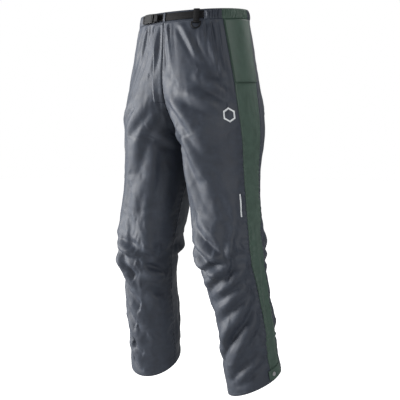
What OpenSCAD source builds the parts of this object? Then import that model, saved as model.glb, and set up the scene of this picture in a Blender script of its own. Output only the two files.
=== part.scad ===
// Waterproof work overtrousers with a webbing belt, green side panels and lapped side openings.
// Millimetres, +Z up, the wearer faces -Y and the wearer's left is +X.
// The origin is the middle of the waist opening, at the top edge of the waistband.

/* [Waist] */
// Width of the waist opening, side to side
waist_w = 328; // [300:1:400]
// Depth of the waist opening, front to back
waist_d = 252; // [230:1:310]
// Height of the waistband above and below the belt
belt_margin = 4; // [4:0.5:10]
// Thickness of the waistband tunnel, outside to inside
band_t = 6; // [5.5:0.1:9]
// Wall of the waistband tunnel
band_wall = 0.8; // [0.5:0.1:1]
// How much lower the front of the waist is, as a slope
waist_dip = 0.07; // [0:0.01:0.12]

/* [Seat and legs] */
// Distance from the top of the waistband to the crotch
rise = 345; // [285:1:420]
// Width of the seat at the crotch
seat_w = 410; // [380:1:500]
// Depth of the seat, front to back
seat_d = 306; // [280:1:370]
// Distance from the crotch to the middle of the hem
leg_len = 672; // [560:1:810]
// Width of the thigh
thigh_w = 196; // [180:1:204]
// Width of the knee
knee_w = 182; // [150:1:220]
// Width of the hem
hem_w = 146; // [120:1:176]
// How much higher the right hem stands, from the bend of the knee
hem_lift = 22; // [0:1:40]
// Thickness of the coated face fabric
cloth_t = 1.2; // [0.8:0.1:2]

/* [Side panels] */
// Half angle of the stripe in front of the side, at the waist
stripe_front = 29; // [20:1:35]
// Half angle of the stripe behind the side, at the waist
stripe_back = 13; // [8:1:20]
// Gap of the pass-through slit behind the placket
slit_gap = 2; // [1.5:0.1:3]
// How far the flap stands off the placket at its middle
flap_lift = 4; // [3:0.1:8]
// Length of the hook and loop strips, as rows of the side opening
hook_rows = 2; // [1:1:3]

/* [Belt] */
// Width of the belt webbing
webbing_w = 20; // [16:1:30]
// Thickness of the belt webbing
webbing_t = 1.5; // [1:0.1:1.8]
// Where the right tunnel lets the belt out, in degrees from the front middle
tunnel_right = 33; // [31:1:45]
// Where the left tunnel takes the belt in, in degrees from the front middle
tunnel_left = 42; // [40:1:50]
// Where the buckle sits, in degrees from the front middle towards the wearer's right
buckle_at = 16.5; // [15:0.5:18]
// Width of the centre belt loop
loop_w = 7; // [5:1:12]

/* [Buckle] */
// Thickness of the buckle housing
buckle_t = 9; // [8:0.1:12]
// Wall of the housing above and below its cavity
housing_wall = 1.8; // [1.2:0.1:2.2]
// Running clearance between the clip and the housing
clip_gap = 0.3; // [0.2:0.05:0.5]

/* [D-ring] */
// Where the D-ring hangs, in degrees from the front middle towards the wearer's left
ring_at = 34.5; // [30:0.5:36]
// Radius of the ring's bar
ring_bar_r = 1.8; // [1.5:0.1:2.2]
// Inside width of the ring
ring_in = 20; // [18:1:26]
// Clearance between the ring's bar and its hanger
ring_gap = 0.3; // [0.2:0.05:0.5]
// Tilt that keeps the ring clear of the cloth, in degrees
ring_tilt = 10; // [10:1:20]

/* [Hem tabs] */
// Height of the hem adjusting tab
tab_h = 20; // [14:1:24]
// Radius of the press stud cap
stud_r = 6; // [5:0.5:7]

/* [Hidden] */

grey = "#4a4e57";
green = "#4f6357";
webbing_black = "#1c1d1f";
plastic_black = "#141516";
metal_grey = "#9a9c9f";
label_white = "#d9dbdd";

RIGHT = -1;
LEFT = 1;
fit = 0.3;               // clearance between pieces that touch but aren't sewn together
seam_h = 1.2;            // height of the seam under the waistband
tape_t = 0.4;            // thickness of the seam tape
tape_w = 22;             // width of the seam tape
lining_off = -cloth_t - 0.25;                   // where what lies on the inside of the cloth starts
seat_rows = 5;           // station number of the crotch
hem_row = 12;            // station number of the hem
flap_row = 3;            // station number of the flap's lower end
band_h = webbing_w + 2 * belt_margin;

// Stations down the body.
// Each is [height, outer edge, inner edge, middle of the depth, half depth, pitch, roll].
// The inner edge is negative above the crotch, where the two sides are open to each other.
function mix(a, b, f) = a + (b - a) * f;
hip0 = waist_w / 2 + 4;
function seat_row(down, wide, share, deep, pitch) =
    let (w = mix(hip0, seat_w / 2, wide))
    [-rise * down, w, -w * share, 0, mix(waist_d / 2 + 4, seat_d / 2, deep), pitch, 0];
seat = [
    [0, waist_w / 2, -waist_w / 2, 0, waist_d / 2, waist_dip, 0],
    [-band_h, hip0, -hip0, 0, waist_d / 2 + 4, waist_dip, 0],
    seat_row(0.35, 0.38, 0.78, 0.30, 0.06),
    seat_row(0.58, 0.68, 0.46, 0.78, 0.05),
    seat_row(0.80, 0.90, 0.19, 1.00, 0.04),
    seat_row(1.00, 1.00, 0.00, 0.57, 0.03),
];

// How far down the leg each station is, as a share of the leg
leg_down = [0.14, 0.29, 0.44, 0.585, 0.76, 0.91, 1];
leg_width = [thigh_w, mix(thigh_w, knee_w, 0.9), knee_w, mix(knee_w, hem_w, 0.5), mix(knee_w, hem_w, 0.75),
             mix(knee_w, hem_w, 0.95), hem_w];
leg_depth = [1.22, 1.11, 1.05, 1.02, 1.02, 1.02, 1.03];
// Stance of each leg: [middle of the leg sideways, middle front to back, pitch, roll] at each station
left_stance = [[106, -4, 0.02, 0.03], [122, -12, 0.03, 0.05], [140, -20, 0.08, 0.08],
               [158, -6, 0.14, 0.12], [167, 18, 0.21, 0.17], [173, 34, 0.29, 0.21], [178, 46, 0.38, 0.25]];
right_stance = [[112, -8, 0.02, 0.03], [125, -22, 0.03, 0.04], [137, -31, 0.08, 0.05],
                [147, -20, 0.20, 0.07], [155, 2, 0.32, 0.09], [165, 22, 0.44, 0.12], [173, 34, 0.55, 0.15]];
function leg_rows(stance, lift) = [
    for (k = [0:len(leg_down) - 1])
        let (half = leg_width[k] / 2, wide = (seat_w - 410) / 4)
        [-rise - (leg_len - lift) * leg_down[k], stance[k][0] + wide + half, stance[k][0] + wide - half,
         stance[k][1], half * leg_depth[k], stance[k][2], stance[k][3]]
];
left_rows = concat(seat, leg_rows(left_stance, 0));
right_rows = concat(seat, leg_rows(right_stance, hem_lift));

// A smooth curve through the stations
function station(side, t) =
    let (rows = side > 0 ? left_rows : right_rows, last = len(rows) - 1,
         i = min(floor(t), last - 1), f = t - i,
         p0 = rows[max(i - 1, 0)], p1 = rows[i], p2 = rows[i + 1], p3 = rows[min(i + 2, last)])
    0.5 * (2 * p1 + (p2 - p0) * f + (2 * p0 - 5 * p1 + 4 * p2 - p3) * f * f
           + (3 * p1 - p0 - 3 * p2 + p3) * f * f * f);

// A point of the cloth: phi is 90 at the front, 180 at the outer side and 270 at the back
function cloth(side, t, phi, off) =
    let (r = station(side, t), mid = (r[1] + r[2]) / 2, rx = (r[1] - r[2]) / 2 + off, ry = r[4] + off,
         x = max(0, mid - rx * cos(phi)), y = r[3] - ry * sin(phi))
    [side * x, y, r[0] + r[5] * (y - r[3]) + r[6] * (x - mid)];

// The angle at which the cloth meets the centre plane, 0 below the crotch
function centre_angle(side, t, off) =
    let (r = station(side, t), share = (r[1] + r[2]) / (r[1] - r[2] + 2 * off))
    share >= 1 ? 0 : acos(max(share, -1));

// The angle that a length along the cloth takes at a station
function arc_angle(side, t, phi, length) =
    length / norm(cloth(side, t, phi + 0.5, 0) - cloth(side, t, phi - 0.5, 0));

// The side seams, as angles at each station
function front_seam(t) =
    180 - lookup(t, [[0, stripe_front], [1, stripe_front - 1], [2, stripe_front - 4], [3, stripe_front - 7],
                     [4, stripe_front - 9], [6, stripe_front - 13], [hem_row, stripe_front - 16]]);
function back_seam(t) =
    180 + lookup(t, [[0, stripe_back], [3, stripe_back], [5, stripe_back + 2], [7, stripe_back + 10],
                     [hem_row, stripe_back + 10]]);

// The numbers from a to b that split it at every multiple of a step, so that neighbours share their corners
function stops(a, b, step) = concat(
    [a],
    [for (k = [floor(a / step) + 1:ceil(b / step) - 1])
        if (k * step > a + 0.01 && k * step < b - 0.01) k * step],
    [b]);
row_step = 0.5;
function spread(a, b, cols) = [for (j = [0:cols]) mix(a, b, j / cols)];

// The columns of each panel, as angles at a station
front_cols = 10;
side_cols = 4;
back_cols = 12;
placket_cols = 8;
function front_angles(side, t, off) = spread(centre_angle(side, t, off), front_seam(t), front_cols);
function side_angles(t) = spread(front_seam(t), back_seam(t), side_cols);
function back_angles(side, t, off) = spread(back_seam(t), 360 - centre_angle(side, t, off), back_cols);
function on_ring(side, t, angles, off) = [for (a = angles) cloth(side, t, a, off)];

// A point part of the way from one corner of a panel towards the next, a set length away
function toward(a, b, length) = a + (b - a) * min(1, length / max(norm(b - a), 0.001));

function quad(a, b, c, d, flip) = flip ? [[a, b, c], [a, c, d]] : [[a, c, b], [a, d, c]];

// The faces of a sheet of rows by cols cells with an outer and an inner layer
function sheet_faces(rows, cols, flip) =
    let (n = cols + 1, layer = (rows + 1) * n)
    concat(
        [for (i = [0:rows - 1]) for (j = [0:cols - 1])
            each quad(i * n + j, (i + 1) * n + j, (i + 1) * n + j + 1, i * n + j + 1, flip)],
        [for (i = [0:rows - 1]) for (j = [0:cols - 1])
            each quad(layer + i * n + j, layer + (i + 1) * n + j, layer + (i + 1) * n + j + 1,
                      layer + i * n + j + 1, !flip)],
        [for (i = [0:rows - 1])
            each quad(i * n, layer + i * n, layer + (i + 1) * n, (i + 1) * n, flip)],
        [for (i = [0:rows - 1])
            each quad(i * n + cols, layer + i * n + cols, layer + (i + 1) * n + cols,
                      (i + 1) * n + cols, !flip)],
        [for (j = [0:cols - 1])
            each quad(j, j + 1, layer + j + 1, layer + j, flip)],
        [for (j = [0:cols - 1])
            each quad(rows * n + j, rows * n + j + 1, layer + rows * n + j + 1,
                      layer + rows * n + j, !flip)]);

// A solid sheet. across(t, layer) gives the corners of one row, layer 0 outside and layer 1 inside.
module ribbon(ts, across, flip) {
    points = [for (layer = [0, 1]) for (t = ts) each across(t, layer)];
    polyhedron(points, sheet_faces(len(ts) - 1, len(across(ts[0], 0)) - 1, flip));
}

// Body panels
module front_panel(side) {
    color(grey) ribbon(stops(1, hem_row, row_step), function (t, layer)
        let (off = -cloth_t * layer) on_ring(side, t, front_angles(side, t, off), off), side < 0);
}
module back_panel(side) {
    color(grey) ribbon(stops(1, hem_row, row_step), function (t, layer)
        let (off = -cloth_t * layer) on_ring(side, t, back_angles(side, t, off), off), side < 0);
}
module side_panel(side) {
    color(green) ribbon(stops(flap_row, hem_row, row_step), function (t, layer)
        on_ring(side, t, side_angles(t), -cloth_t * layer), side < 0);
}

// The upper side panel under the flap, with the pass-through slit behind it
function placket_angles(side, t) =
    spread(front_seam(t), back_seam(t) - arc_angle(side, t, back_seam(t), slit_gap), placket_cols);
module placket(side) {
    color(green) ribbon(stops(1, flap_row, row_step), function (t, layer)
        on_ring(side, t, placket_angles(side, t), -cloth_t * layer), side < 0);
}

// The flap starts at the front seam, arches over the placket and ends over the back seam
flap_inset = 2.5;        // from the front seam to the flap's folded edge
flap_start = 1.04;
flap_end = flap_row - 0.02;
flap_cols = 10;
// Distance of the flap's inner face off the placket, across its width
function flap_off(f) = 2 * fit + (flap_lift - fit) * sin(180 * f);
function flap_angle(side, t, f) =
    mix(front_seam(t) + arc_angle(side, t, front_seam(t), flap_inset),
        back_seam(t) + arc_angle(side, t, back_seam(t), slit_gap), f);
function under_flap(side, t, from, to, cols, drop) =
    [for (f = spread(from, to, cols)) cloth(side, t, flap_angle(side, t, f), flap_off(f) - drop)];
module flap(side) {
    color(green) ribbon(stops(flap_start, flap_end, row_step), function (t, layer)
        under_flap(side, t, 0, 1, flap_cols, cloth_t * (layer - 1)), side < 0);
}

// Hook strip under the flap and loop strip on the placket, on the same corners as the cloth they are sewn to
strip_t = 0.8;           // thickness of a hook or loop strip
hook_stops = stops(2 - hook_rows * row_step / 2, 2 + hook_rows * row_step / 2, row_step);
module hook_strip(side) {
    color(webbing_black) ribbon(hook_stops, function (t, layer)
        under_flap(side, t, 0.6, 0.8, 2, strip_t * layer), side < 0);
}
module loop_strip(side) {
    color(webbing_black) ribbon(hook_stops, function (t, layer)
        [for (j = [5:7]) cloth(side, t, placket_angles(side, t)[j], strip_t * (1 - layer))], side < 0);
}

// Facing strip down the front seam, on the wearer's right
fly_w = 30;              // width of the facing
fly_end = 3.6;           // station at which it runs out
module fly_facing() {
    color(grey) ribbon(stops(1.06, fly_end, row_step), function (t, layer)
        let (off = 0.45 + cloth_t / 2 * (1 - layer), from = centre_angle(RIGHT, t, off))
        on_ring(RIGHT, t, spread(from, from + arc_angle(RIGHT, t, from + 1, fly_w), 2), off), true);
}

// Waistband. Theta is 0 at the front middle and grows towards the wearer's left.
function waist_row(t) = t > 1 ? station(LEFT, t) : mix(left_rows[0], left_rows[1], t);
function waist(theta, t, off) =
    let (r = waist_row(t), y = -(r[4] + off) * cos(theta))
    [(r[1] + off) * sin(theta), y, r[0] + r[5] * y];
band_step = 6;
foot = 1 - seam_h / band_h;                     // top of the seam along the band's lower edge
front_left_seam = front_seam(0) - 90;
back_left_seam = back_seam(0) - 90;
belt_out = -band_wall - fit;                    // outer face of the belt, off the waistband surface
belt_in = belt_out - webbing_t;
backing_out = belt_in - fit;
belt_top = belt_margin / band_h;                // the belt's edges, as shares of the band's height
belt_low = 1 - belt_top;

// A solid band round the waist between two angles
module band(from, to, t0, t1, outer, inner) {
    angles = stops(from, to, band_step);
    ribbon([t0, t1], function (t, layer) [for (a = angles) waist(a, t, layer == 0 ? outer : inner)], false);
}

// A hollow tunnel round the waist between two angles, open at both ends
module tunnel(from, to) {
    angles = stops(from, to, band_step);
    inset = band_wall / band_h;
    corners = [[0, 0], [1, 0], [1, -band_t], [0, -band_t],
               [inset, -band_wall], [1 - inset, -band_wall], [1 - inset, band_wall - band_t],
               [inset, band_wall - band_t]];
    sides = [
        for (j = [0:len(angles) - 2]) for (k = [0:3])
            let (a = 8 * j + k, b = 8 * j + (k + 1) % 4)
            each concat(quad(a, b, b + 8, a + 8, false), quad(a + 4, b + 4, b + 12, a + 12, true))
    ];
    last = 8 * (len(angles) - 1);
    ends = [
        for (k = [0:3]) let (m = (k + 1) % 4)
            each concat(quad(k, m, m + 4, k + 4, true),
                        quad(last + k, last + m, last + m + 4, last + k + 4, false))
    ];
    polyhedron([for (a = angles) for (c = corners) waist(a, c[0], c[1])], concat(sides, ends));
}
module waistband_tunnel(from, to, tint) { color(tint) tunnel(from, to); }

// The open stretch of the waistband, where the belt shows: a backing with a seam along its foot
module waistband_front() {
    angles = stops(-tunnel_right, tunnel_left, band_step);
    outline = [[0, backing_out], [foot, backing_out], [foot, 0], [1, 0], [1, -band_t], [foot, -band_t],
               [0, -band_t]];
    n = len(outline);
    last = n * (len(angles) - 1);
    cap = [[0, 1, 5], [0, 5, 6], [1, 2, 3], [1, 3, 4], [1, 4, 5]];
    color(grey) polyhedron(
        [for (a = angles) for (c = outline) waist(a, c[0], c[1])],
        concat(
            cap,
            [for (f = cap) [last + f[2], last + f[1], last + f[0]]],
            [for (j = [0:len(angles) - 2]) for (k = [0:n - 1])
                let (a = n * j + k, b = n * j + (k + 1) % n) each quad(a, b, b + n, a + n, false)]));
}

elastic_t = 1.2;                                // thickness of the elastic
module waist_elastic() {
    outer = belt_in - fit;
    color("#d8d6cc")
        band(tunnel_left + 1, 359 - tunnel_right, belt_top / 2, 1 - belt_top / 2, outer,
             max(outer - elastic_t, band_wall + 0.15 - band_t));
}

// Belt and buckle
// Places a piece at an angle round the waist: X along the belt, -Y outwards, Z up the band
function tangent_turn(theta) =
    let (r = waist_row(0.5)) atan2(r[4] * sin(theta), r[1] * cos(theta));
band_lean = atan2(4, band_h);
module at_waist(theta, off) {
    translate(waist(theta, 0.5, off))
        rotate([0, 0, tangent_turn(theta)]) rotate([-band_lean, 0, 0]) children();
}
// The buckle's own frame has X towards the wearer's right
buckle_off = buckle_t / 2 + fit;
module at_buckle() { at_waist(-buckle_at, buckle_off) mirror([1, 0, 0]) children(); }
function belt_angle(along) = -buckle_at - along / (waist_w / 2) * 180 / PI;
// Where a point of the belt lies in the buckle's frame, as [along, outwards]
function in_buckle(theta, off) =
    let (p = waist(theta, 0.5, off) - waist(-buckle_at, 0.5, buckle_off), a = tangent_turn(-buckle_at))
    [-p[0] * cos(a) - p[1] * sin(a), p[1] * cos(a) - p[0] * sin(a)];

bar_w = 3;                                      // width of a bar that webbing goes round
bar_t = 2.4;                                    // thickness of a bar
wrap_t = min(webbing_t, 1.3);                   // thickness of webbing where it goes round a bar
cavity_t = buckle_t - 2 * housing_wall;
cavity_h = webbing_w + 1;
housing_h = cavity_h + 4;
mouth_x = -8;                                   // the mouth of the housing, from the buckle's middle
housing_end = 30;                               // its bar end
housing_bar = housing_end - bar_w;
window = [-2, 12];                              // its side windows, from and to
clip_bar = 18;                                  // the clip's bar, from the buckle's middle
tail_end = 34;                                  // the doubled end of the belt behind the clip
splice = 46;                                    // where the end round the housing's bar is sewn down

bar_room = bar_t / 2 + clip_gap;                // from a bar's middle to the webbing round it
module belt_webbing() {
    x = housing_bar - clip_gap;
    out = bar_room + wrap_t;
    meet = belt_angle(splice);
    tip_out = in_buckle(meet, belt_out - webbing_t / 4);
    tip_in = in_buckle(meet, belt_in + webbing_t / 4);
    fork = (mix([housing_end + 3, -out], tip_out, 0.6) + mix([housing_end, out], tip_in, 0.6)) / 2;
    color(webbing_black) {
        band(belt_angle(-clip_bar), 360 + meet + 4, belt_top, belt_low, belt_out, belt_in);
        // the end that goes round the housing's bar and is sewn to itself
        at_buckle() translate([0, 0, 0.5 - webbing_w / 2]) linear_extrude(webbing_w - 1) difference() {
            polygon([[x - wrap_t, out], [x - wrap_t, -out], [housing_end + 3, -out], tip_out, tip_in,
                     [housing_end, out]]);
            polygon([[x, -bar_room], [housing_end + 2, -bar_room], fork, [housing_end + 1, bar_room],
                     [x, bar_room]]);
        }
    }
}
module belt_clip_end() {
    x = clip_bar - clip_gap;
    out = bar_room + wrap_t;
    color(webbing_black) at_buckle() mirror([1, 0, 0]) translate([0, 0, -webbing_w / 2])
        linear_extrude(webbing_w) polygon([
            [x - wrap_t, out], [x - wrap_t, -out], [tail_end, -out], [tail_end, -bar_room],
            [x, -bar_room], [x, bar_room], [tail_end - 6, bar_room], [tail_end - 6, out]]);
}

module centre_belt_loop() {
    stand = belt_out + fit;
    half = loop_w / (waist_w / 2) * 90 / PI;
    sewn = backing_out + 0.05;
    color(grey) {
        band(-half, half, 0, foot - 0.01, stand + cloth_t, stand);
        // the two ends, sewn to the backing above and below the belt
        band(-half, half, 0, belt_top - 0.03, stand + 0.1, sewn);
        band(-half, half, belt_low + 0.03, foot - 0.01, stand + 0.1, sewn);
    }
}

// A rectangle with round corners, centred
module round_rect(w, h, r) {
    square([w - 2 * r, h], center = true);
    square([w, h - 2 * r], center = true);
    for (x = [-1, 1], y = [-1, 1]) translate([x * (w / 2 - r), y * (h / 2 - r)]) circle(r, $fn = 32);
}
// A plate in the belt's plane
module plate(x0, x1, h, t, r) {
    translate([(x0 + x1) / 2, t / 2, 0]) rotate([90, 0, 0]) linear_extrude(t) round_rect(x1 - x0, h, r);
}
module slab(x0, x1, h, t) {
    translate([x0, -t / 2, -h / 2]) cube([x1 - x0, t, h]);
}
module buckle_housing() {
    slot_x = housing_bar - 4;
    color(plastic_black) at_buckle() difference() {
        union() {
            plate(mouth_x, slot_x, housing_h, buckle_t, 4);
            plate(slot_x - 6, housing_end, housing_h, bar_t, 1.1);
        }
        slab(mouth_x - 1, 18, cavity_h, cavity_t);
        // side windows for the arms
        slab(window[0], window[1], housing_h + 2, cavity_t);
        // slot for the webbing
        slab(slot_x, housing_bar, cavity_h, buckle_t + 1);
    }
}
module buckle_clip() {
    bar_end = clip_bar + bar_w;
    frame_in = mouth_x - clip_gap;
    slot_w = clip_bar - 0.8 + frame_in - 4;
    color(plastic_black) at_buckle() {
        difference() {
            union() {
                plate(-bar_end, frame_in - 3, housing_h, bar_t, 2);
                plate(frame_in - 4, frame_in, housing_h, buckle_t - 2, 1.4);
            }
            // slot for the webbing
            translate([-clip_bar, -buckle_t / 2, -cavity_h / 2]) cube([slot_w, buckle_t, cavity_h]);
        }
        // the middle tongue
        plate(frame_in - 1, 14, 7, cavity_t - 2 * clip_gap, 2);
    }
}
// The two side arms, which bend inwards as the clip is squeezed
module buckle_clip_arms() {
    arm_t = cavity_t - 2 * clip_gap;
    root_x = mouth_x - clip_gap;
    half = cavity_h / 2 - clip_gap;
    color(plastic_black) at_buckle() for (up = [0, 1]) mirror([0, 0, up])
        translate([0, arm_t / 2, 0]) rotate([90, 0, 0]) linear_extrude(arm_t)
            polygon([[root_x, half - 3.5], [root_x, half - 0.5], [window[0] + clip_gap, half - 0.5],
                     [window[0] + clip_gap, half + 2.8], [window[1] - 5, half + 2.2],
                     [window[1] - 1, half - 1], [window[1] - 1, half - 4]]);
}

// D-ring
ring_mid = ring_in / 2 + ring_bar_r;            // centre line of the ring's sides
ring_drop = band_h / 2 + 7;                     // the bar's axis below the middle of the band
ring_off = 4.4;                                 // the bar's axis off the surface
ring_leg = 6;                                   // straight part of the ring's sides
module d_ring() {
    color(plastic_black)
    at_waist(ring_at, 0) translate([0, -ring_off, -ring_drop]) rotate([-ring_tilt, 0, 0]) {
        translate([-ring_mid, 0, 0]) rotate([0, 90, 0]) cylinder(r = ring_bar_r, h = 2 * ring_mid, $fn = 48);
        for (x = [-ring_mid, ring_mid]) {
            translate([x, 0, 0]) sphere(r = ring_bar_r, $fn = 48);
            translate([x, 0, -ring_leg]) cylinder(r = ring_bar_r, h = ring_leg, $fn = 48);
        }
        translate([0, 0, -ring_leg]) rotate([90, 0, 0]) rotate([0, 0, 180])
            rotate_extrude(angle = 180, $fn = 96) translate([ring_mid, 0]) circle(ring_bar_r, $fn = 48);
    }
}
// Webbing tab from the top of the waistband, over the belt and round the ring's bar
hanger_w = 16;                                  // width of the tab
hanger_t = 1.2;                                 // thickness of its webbing
module d_ring_hanger() {
    sleeve = ring_bar_r + ring_gap;
    top = band_h / 2 + 5 * fit;
    low = -ring_drop + sleeve + hanger_t / 4;
    color(webbing_black) at_waist(ring_at, 0) rotate([90, 0, 90]) translate([0, 0, -hanger_w / 2])
        linear_extrude(hanger_w) {
            translate([-ring_off, -ring_drop]) difference() {
                circle(sleeve + hanger_t, $fn = 48);
                circle(sleeve, $fn = 48);
            }
            // the strap, and its end sewn over the top of the backing
            polygon([[-ring_off - hanger_t / 2, low], [-fit - hanger_t, -band_h / 2],
                     [-fit - hanger_t, top + hanger_t], [2 - backing_out, top + hanger_t],
                     [2 - backing_out, top], [-fit, top],
                     [-fit, -band_h / 2], [-ring_off + hanger_t / 2, low]]);
        }
}

// Hems
hem_h = 0.25;                                   // height of the turned hem, in stations
module hem_band(side) {
    color(grey) ribbon([hem_row - hem_h, hem_row - 0.02], function (t, layer)
        let (off = lining_off - cloth_t * layer,
             front = front_angles(side, t, off), back = back_angles(side, t, off))
        on_ring(side, t, concat([0.6], [for (j = [1:front_cols]) front[j]],
                                [for (j = [1:side_cols]) side_angles(t)[j]],
                                [for (j = [1:back_cols - 1]) back[j]], [359.4]), off), side < 0);
}

// Hem tab across the side panel, sewn down at its back end
tab_top = hem_row - 0.62;                       // station of the tab's top edge
function row_height(side) =
    norm(cloth(side, hem_row - 0.5, 180, 0) - cloth(side, hem_row, 180, 0)) * 2;
tab_back = 22;                                  // the sewn end, in degrees behind the side
tab_front = -20;                                // the free end, in degrees in front of the side
stud_at = -8;                                   // the press stud, in degrees in front of the side
stud_gap = 2.4;                                 // room between the tab and the panel at the stud
function tab_off(f) = fit + (stud_gap - fit) * min(1, f * 2.2);
module hem_tab(side) {
    color(green) ribbon([tab_top, tab_top + tab_h / row_height(side)], function (t, layer)
        [for (f = spread(0, 1, 8)) cloth(side, t, 180 + mix(tab_front, tab_back, f),
                                         tab_off(1 - f) + cloth_t * (1 - layer))], side < 0);
}
// A frame on the cloth: Z points out of it and X down it
module on_cloth(side, t, phi, off) {
    down = cloth(side, t + 0.05, phi, 0) - cloth(side, t - 0.05, phi, 0);
    round_it = cloth(side, t, phi + 1, 0) - cloth(side, t, phi - 1, 0);
    n = side * cross(down, round_it) / norm(cross(down, round_it));
    translate(cloth(side, t, phi, 0) + off * n) rotate([0, acos(n[2]), atan2(n[1], n[0])]) children();
}
module at_stud(side) { on_cloth(side, tab_top + tab_h / row_height(side) / 2, 180 + stud_at, 0) children(); }
stud_post_r = 2.2;                              // radius of the stud
module snap_cap(side) {
    color(metal_grey) at_stud(side) {
        translate([0, 0, stud_gap + cloth_t + 0.1]) cylinder(r = stud_r, h = 1, $fn = 48);
        // the socket under the tab
        translate([0, 0, 1]) difference() {
            cylinder(r = stud_r - 1, h = stud_gap - 1.25, $fn = 48);
            translate([0, 0, -1]) cylinder(r = stud_post_r + 0.6, h = stud_gap + 1, $fn = 48);
        }
    }
}
module snap_stud(side) {
    color(metal_grey) at_stud(side) {
        cylinder(r = stud_r - 1, h = 0.65, $fn = 48);
        translate([0, 0, 0.6]) cylinder(r = stud_post_r, h = stud_gap - 0.9, $fn = 48);
        // the washer inside the leg
        translate([0, 0, -cloth_t - 1.1]) cylinder(r = stud_r - 1.5, h = 0.8, $fn = 48);
    }
}

// Seam tapes, welded to the inside of each seam: a row of corners half a tape's width to each side
function taped(side, t, layer, before, seam, after) =
    let (off = lining_off - tape_t * layer, ring = on_ring(side, t, [before, seam, after], off))
    [toward(ring[1], ring[0], tape_w / 2), ring[1], toward(ring[1], ring[2], tape_w / 2)];
module tape(side, t0, t1, angles) {
    color("#2c2f35") ribbon(stops(t0, t1, row_step), function (t, layer)
        let (a = angles(t, lining_off - tape_t * layer)) taped(side, t, layer, a[0], a[1], a[2]), side < 0);
}
crotch_slack = 0.7;      // room for the twist of the cloth over the seat
module half_tape(side, front) {
    ribbon(stops(1, seat_rows - 1, row_step), function (t, layer)
        let (off = lining_off - crotch_slack - tape_t * layer,
             a = front ? front_angles(side, t, off) : back_angles(side, t, off),
             from = front ? a[0] : a[back_cols], next = front ? a[1] : a[back_cols - 1],
             edge = cloth(side, t, from, off), inner = toward(edge, cloth(side, t, next, off), tape_w / 2))
        front ? [edge, inner] : [inner, edge], side < 0);
}
module crotch_seam_tape() {
    color("#2c2f35") for (side = [LEFT, RIGHT], front = [true, false]) half_tape(side, front);
}
taped_end = hem_row - row_step;                 // station at which the tapes stop above the hem
module inseam_tape(side) {
    tape(side, seat_rows + row_step, taped_end, function (t, off)
        [back_angles(side, t, off)[back_cols - 1] - 360, 0, front_angles(side, t, off)[1]]);
}
module side_seam_tapes(side) {
    tape(side, flap_row, taped_end, function (t, off)
        [front_angles(side, t, off)[front_cols - 1], front_seam(t), side_angles(t)[1]]);
    tape(side, flap_row, taped_end, function (t, off)
        [side_angles(t)[side_cols - 1], back_seam(t), back_angles(side, t, off)[1]]);
}

// Labels and trim
module care_label() {
    color(label_white) band(192, 204, 0.25, 1.9, -band_t - 0.3, -band_t - 0.8);
}
loop_half = 10;                                 // half the length of the hanging loop, in degrees
module hanging_loop() {
    color(webbing_black) difference() {
        band(180 - loop_half, 180 + loop_half, 0.1, 0.9, -band_t - fit, -band_t - fit - 1.2);
        band(182 - loop_half, 178 + loop_half, 0.26, 0.74, -band_t, -band_t - 4);
    }
}
emblem_r = 20;                                  // radius of the plain hexagon on the thigh
module thigh_emblem() {
    color(label_white) on_cloth(LEFT, 4.15, 148, 0.3) difference() {
        cylinder(r = emblem_r, h = 0.6, $fn = 6);
        translate([0, 0, -1]) cylinder(r = emblem_r - 5, h = 3, $fn = 6);
    }
}
bar_len = 60;                                   // length of the reflective bar
module thigh_bar() {
    color(label_white) on_cloth(LEFT, 6.9, 154, 0.3) translate([-bar_len / 2, -2, 0]) cube([bar_len, 4, 0.6]);
}

front_panel(LEFT);  // left_front_panel
front_panel(RIGHT);  // right_front_panel
back_panel(LEFT);  // left_back_panel
back_panel(RIGHT);  // right_back_panel
side_panel(LEFT);  // left_side_panel
side_panel(RIGHT);  // right_side_panel
placket(LEFT);  // left_placket
placket(RIGHT);  // right_placket
flap(LEFT);  // left_flap
flap(RIGHT);  // right_flap
hook_strip(LEFT);  // left_hook_strip
hook_strip(RIGHT);  // right_hook_strip
loop_strip(LEFT);  // left_loop_strip
loop_strip(RIGHT);  // right_loop_strip
fly_facing();
waistband_front();
waistband_tunnel(tunnel_left, front_left_seam, grey);  // waistband_front_left
waistband_tunnel(-front_left_seam, -tunnel_right, grey);  // waistband_front_right
waistband_tunnel(front_left_seam, back_left_seam, green);  // waistband_left_side
waistband_tunnel(-back_left_seam, -front_left_seam, green);  // waistband_right_side
waistband_tunnel(back_left_seam, 360 - back_left_seam, grey);  // waistband_back
waist_elastic();
belt_webbing();
belt_clip_end();
centre_belt_loop();
buckle_housing();
buckle_clip();
buckle_clip_arms();
d_ring();
d_ring_hanger();
hem_band(LEFT);  // left_hem_band
hem_band(RIGHT);  // right_hem_band
hem_tab(LEFT);  // left_hem_tab
hem_tab(RIGHT);  // right_hem_tab
snap_cap(LEFT);  // left_snap_cap
snap_cap(RIGHT);  // right_snap_cap
snap_stud(LEFT);  // left_snap_stud
snap_stud(RIGHT);  // right_snap_stud
crotch_seam_tape();
inseam_tape(LEFT);  // left_inseam_tape
inseam_tape(RIGHT);  // right_inseam_tape
side_seam_tapes(LEFT);  // left_side_seam_tapes
side_seam_tapes(RIGHT);  // right_side_seam_tapes
care_label();
hanging_loop();
thigh_emblem();
thigh_bar();
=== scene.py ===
# %% [markdown]
# # Waterproof work overtrousers
#
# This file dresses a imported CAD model. The CAD gives every piece its place and size, and Blender gives it the look:
# coated nylon that has creased on a wearer, webbing, moulded plastic and thread. Each step below first says what the
# piece is on the real garment and why it is made the way it is.

# %% The frame
import math

import bpy
import numpy as np
from mathutils import Matrix, Vector, noise


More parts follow.
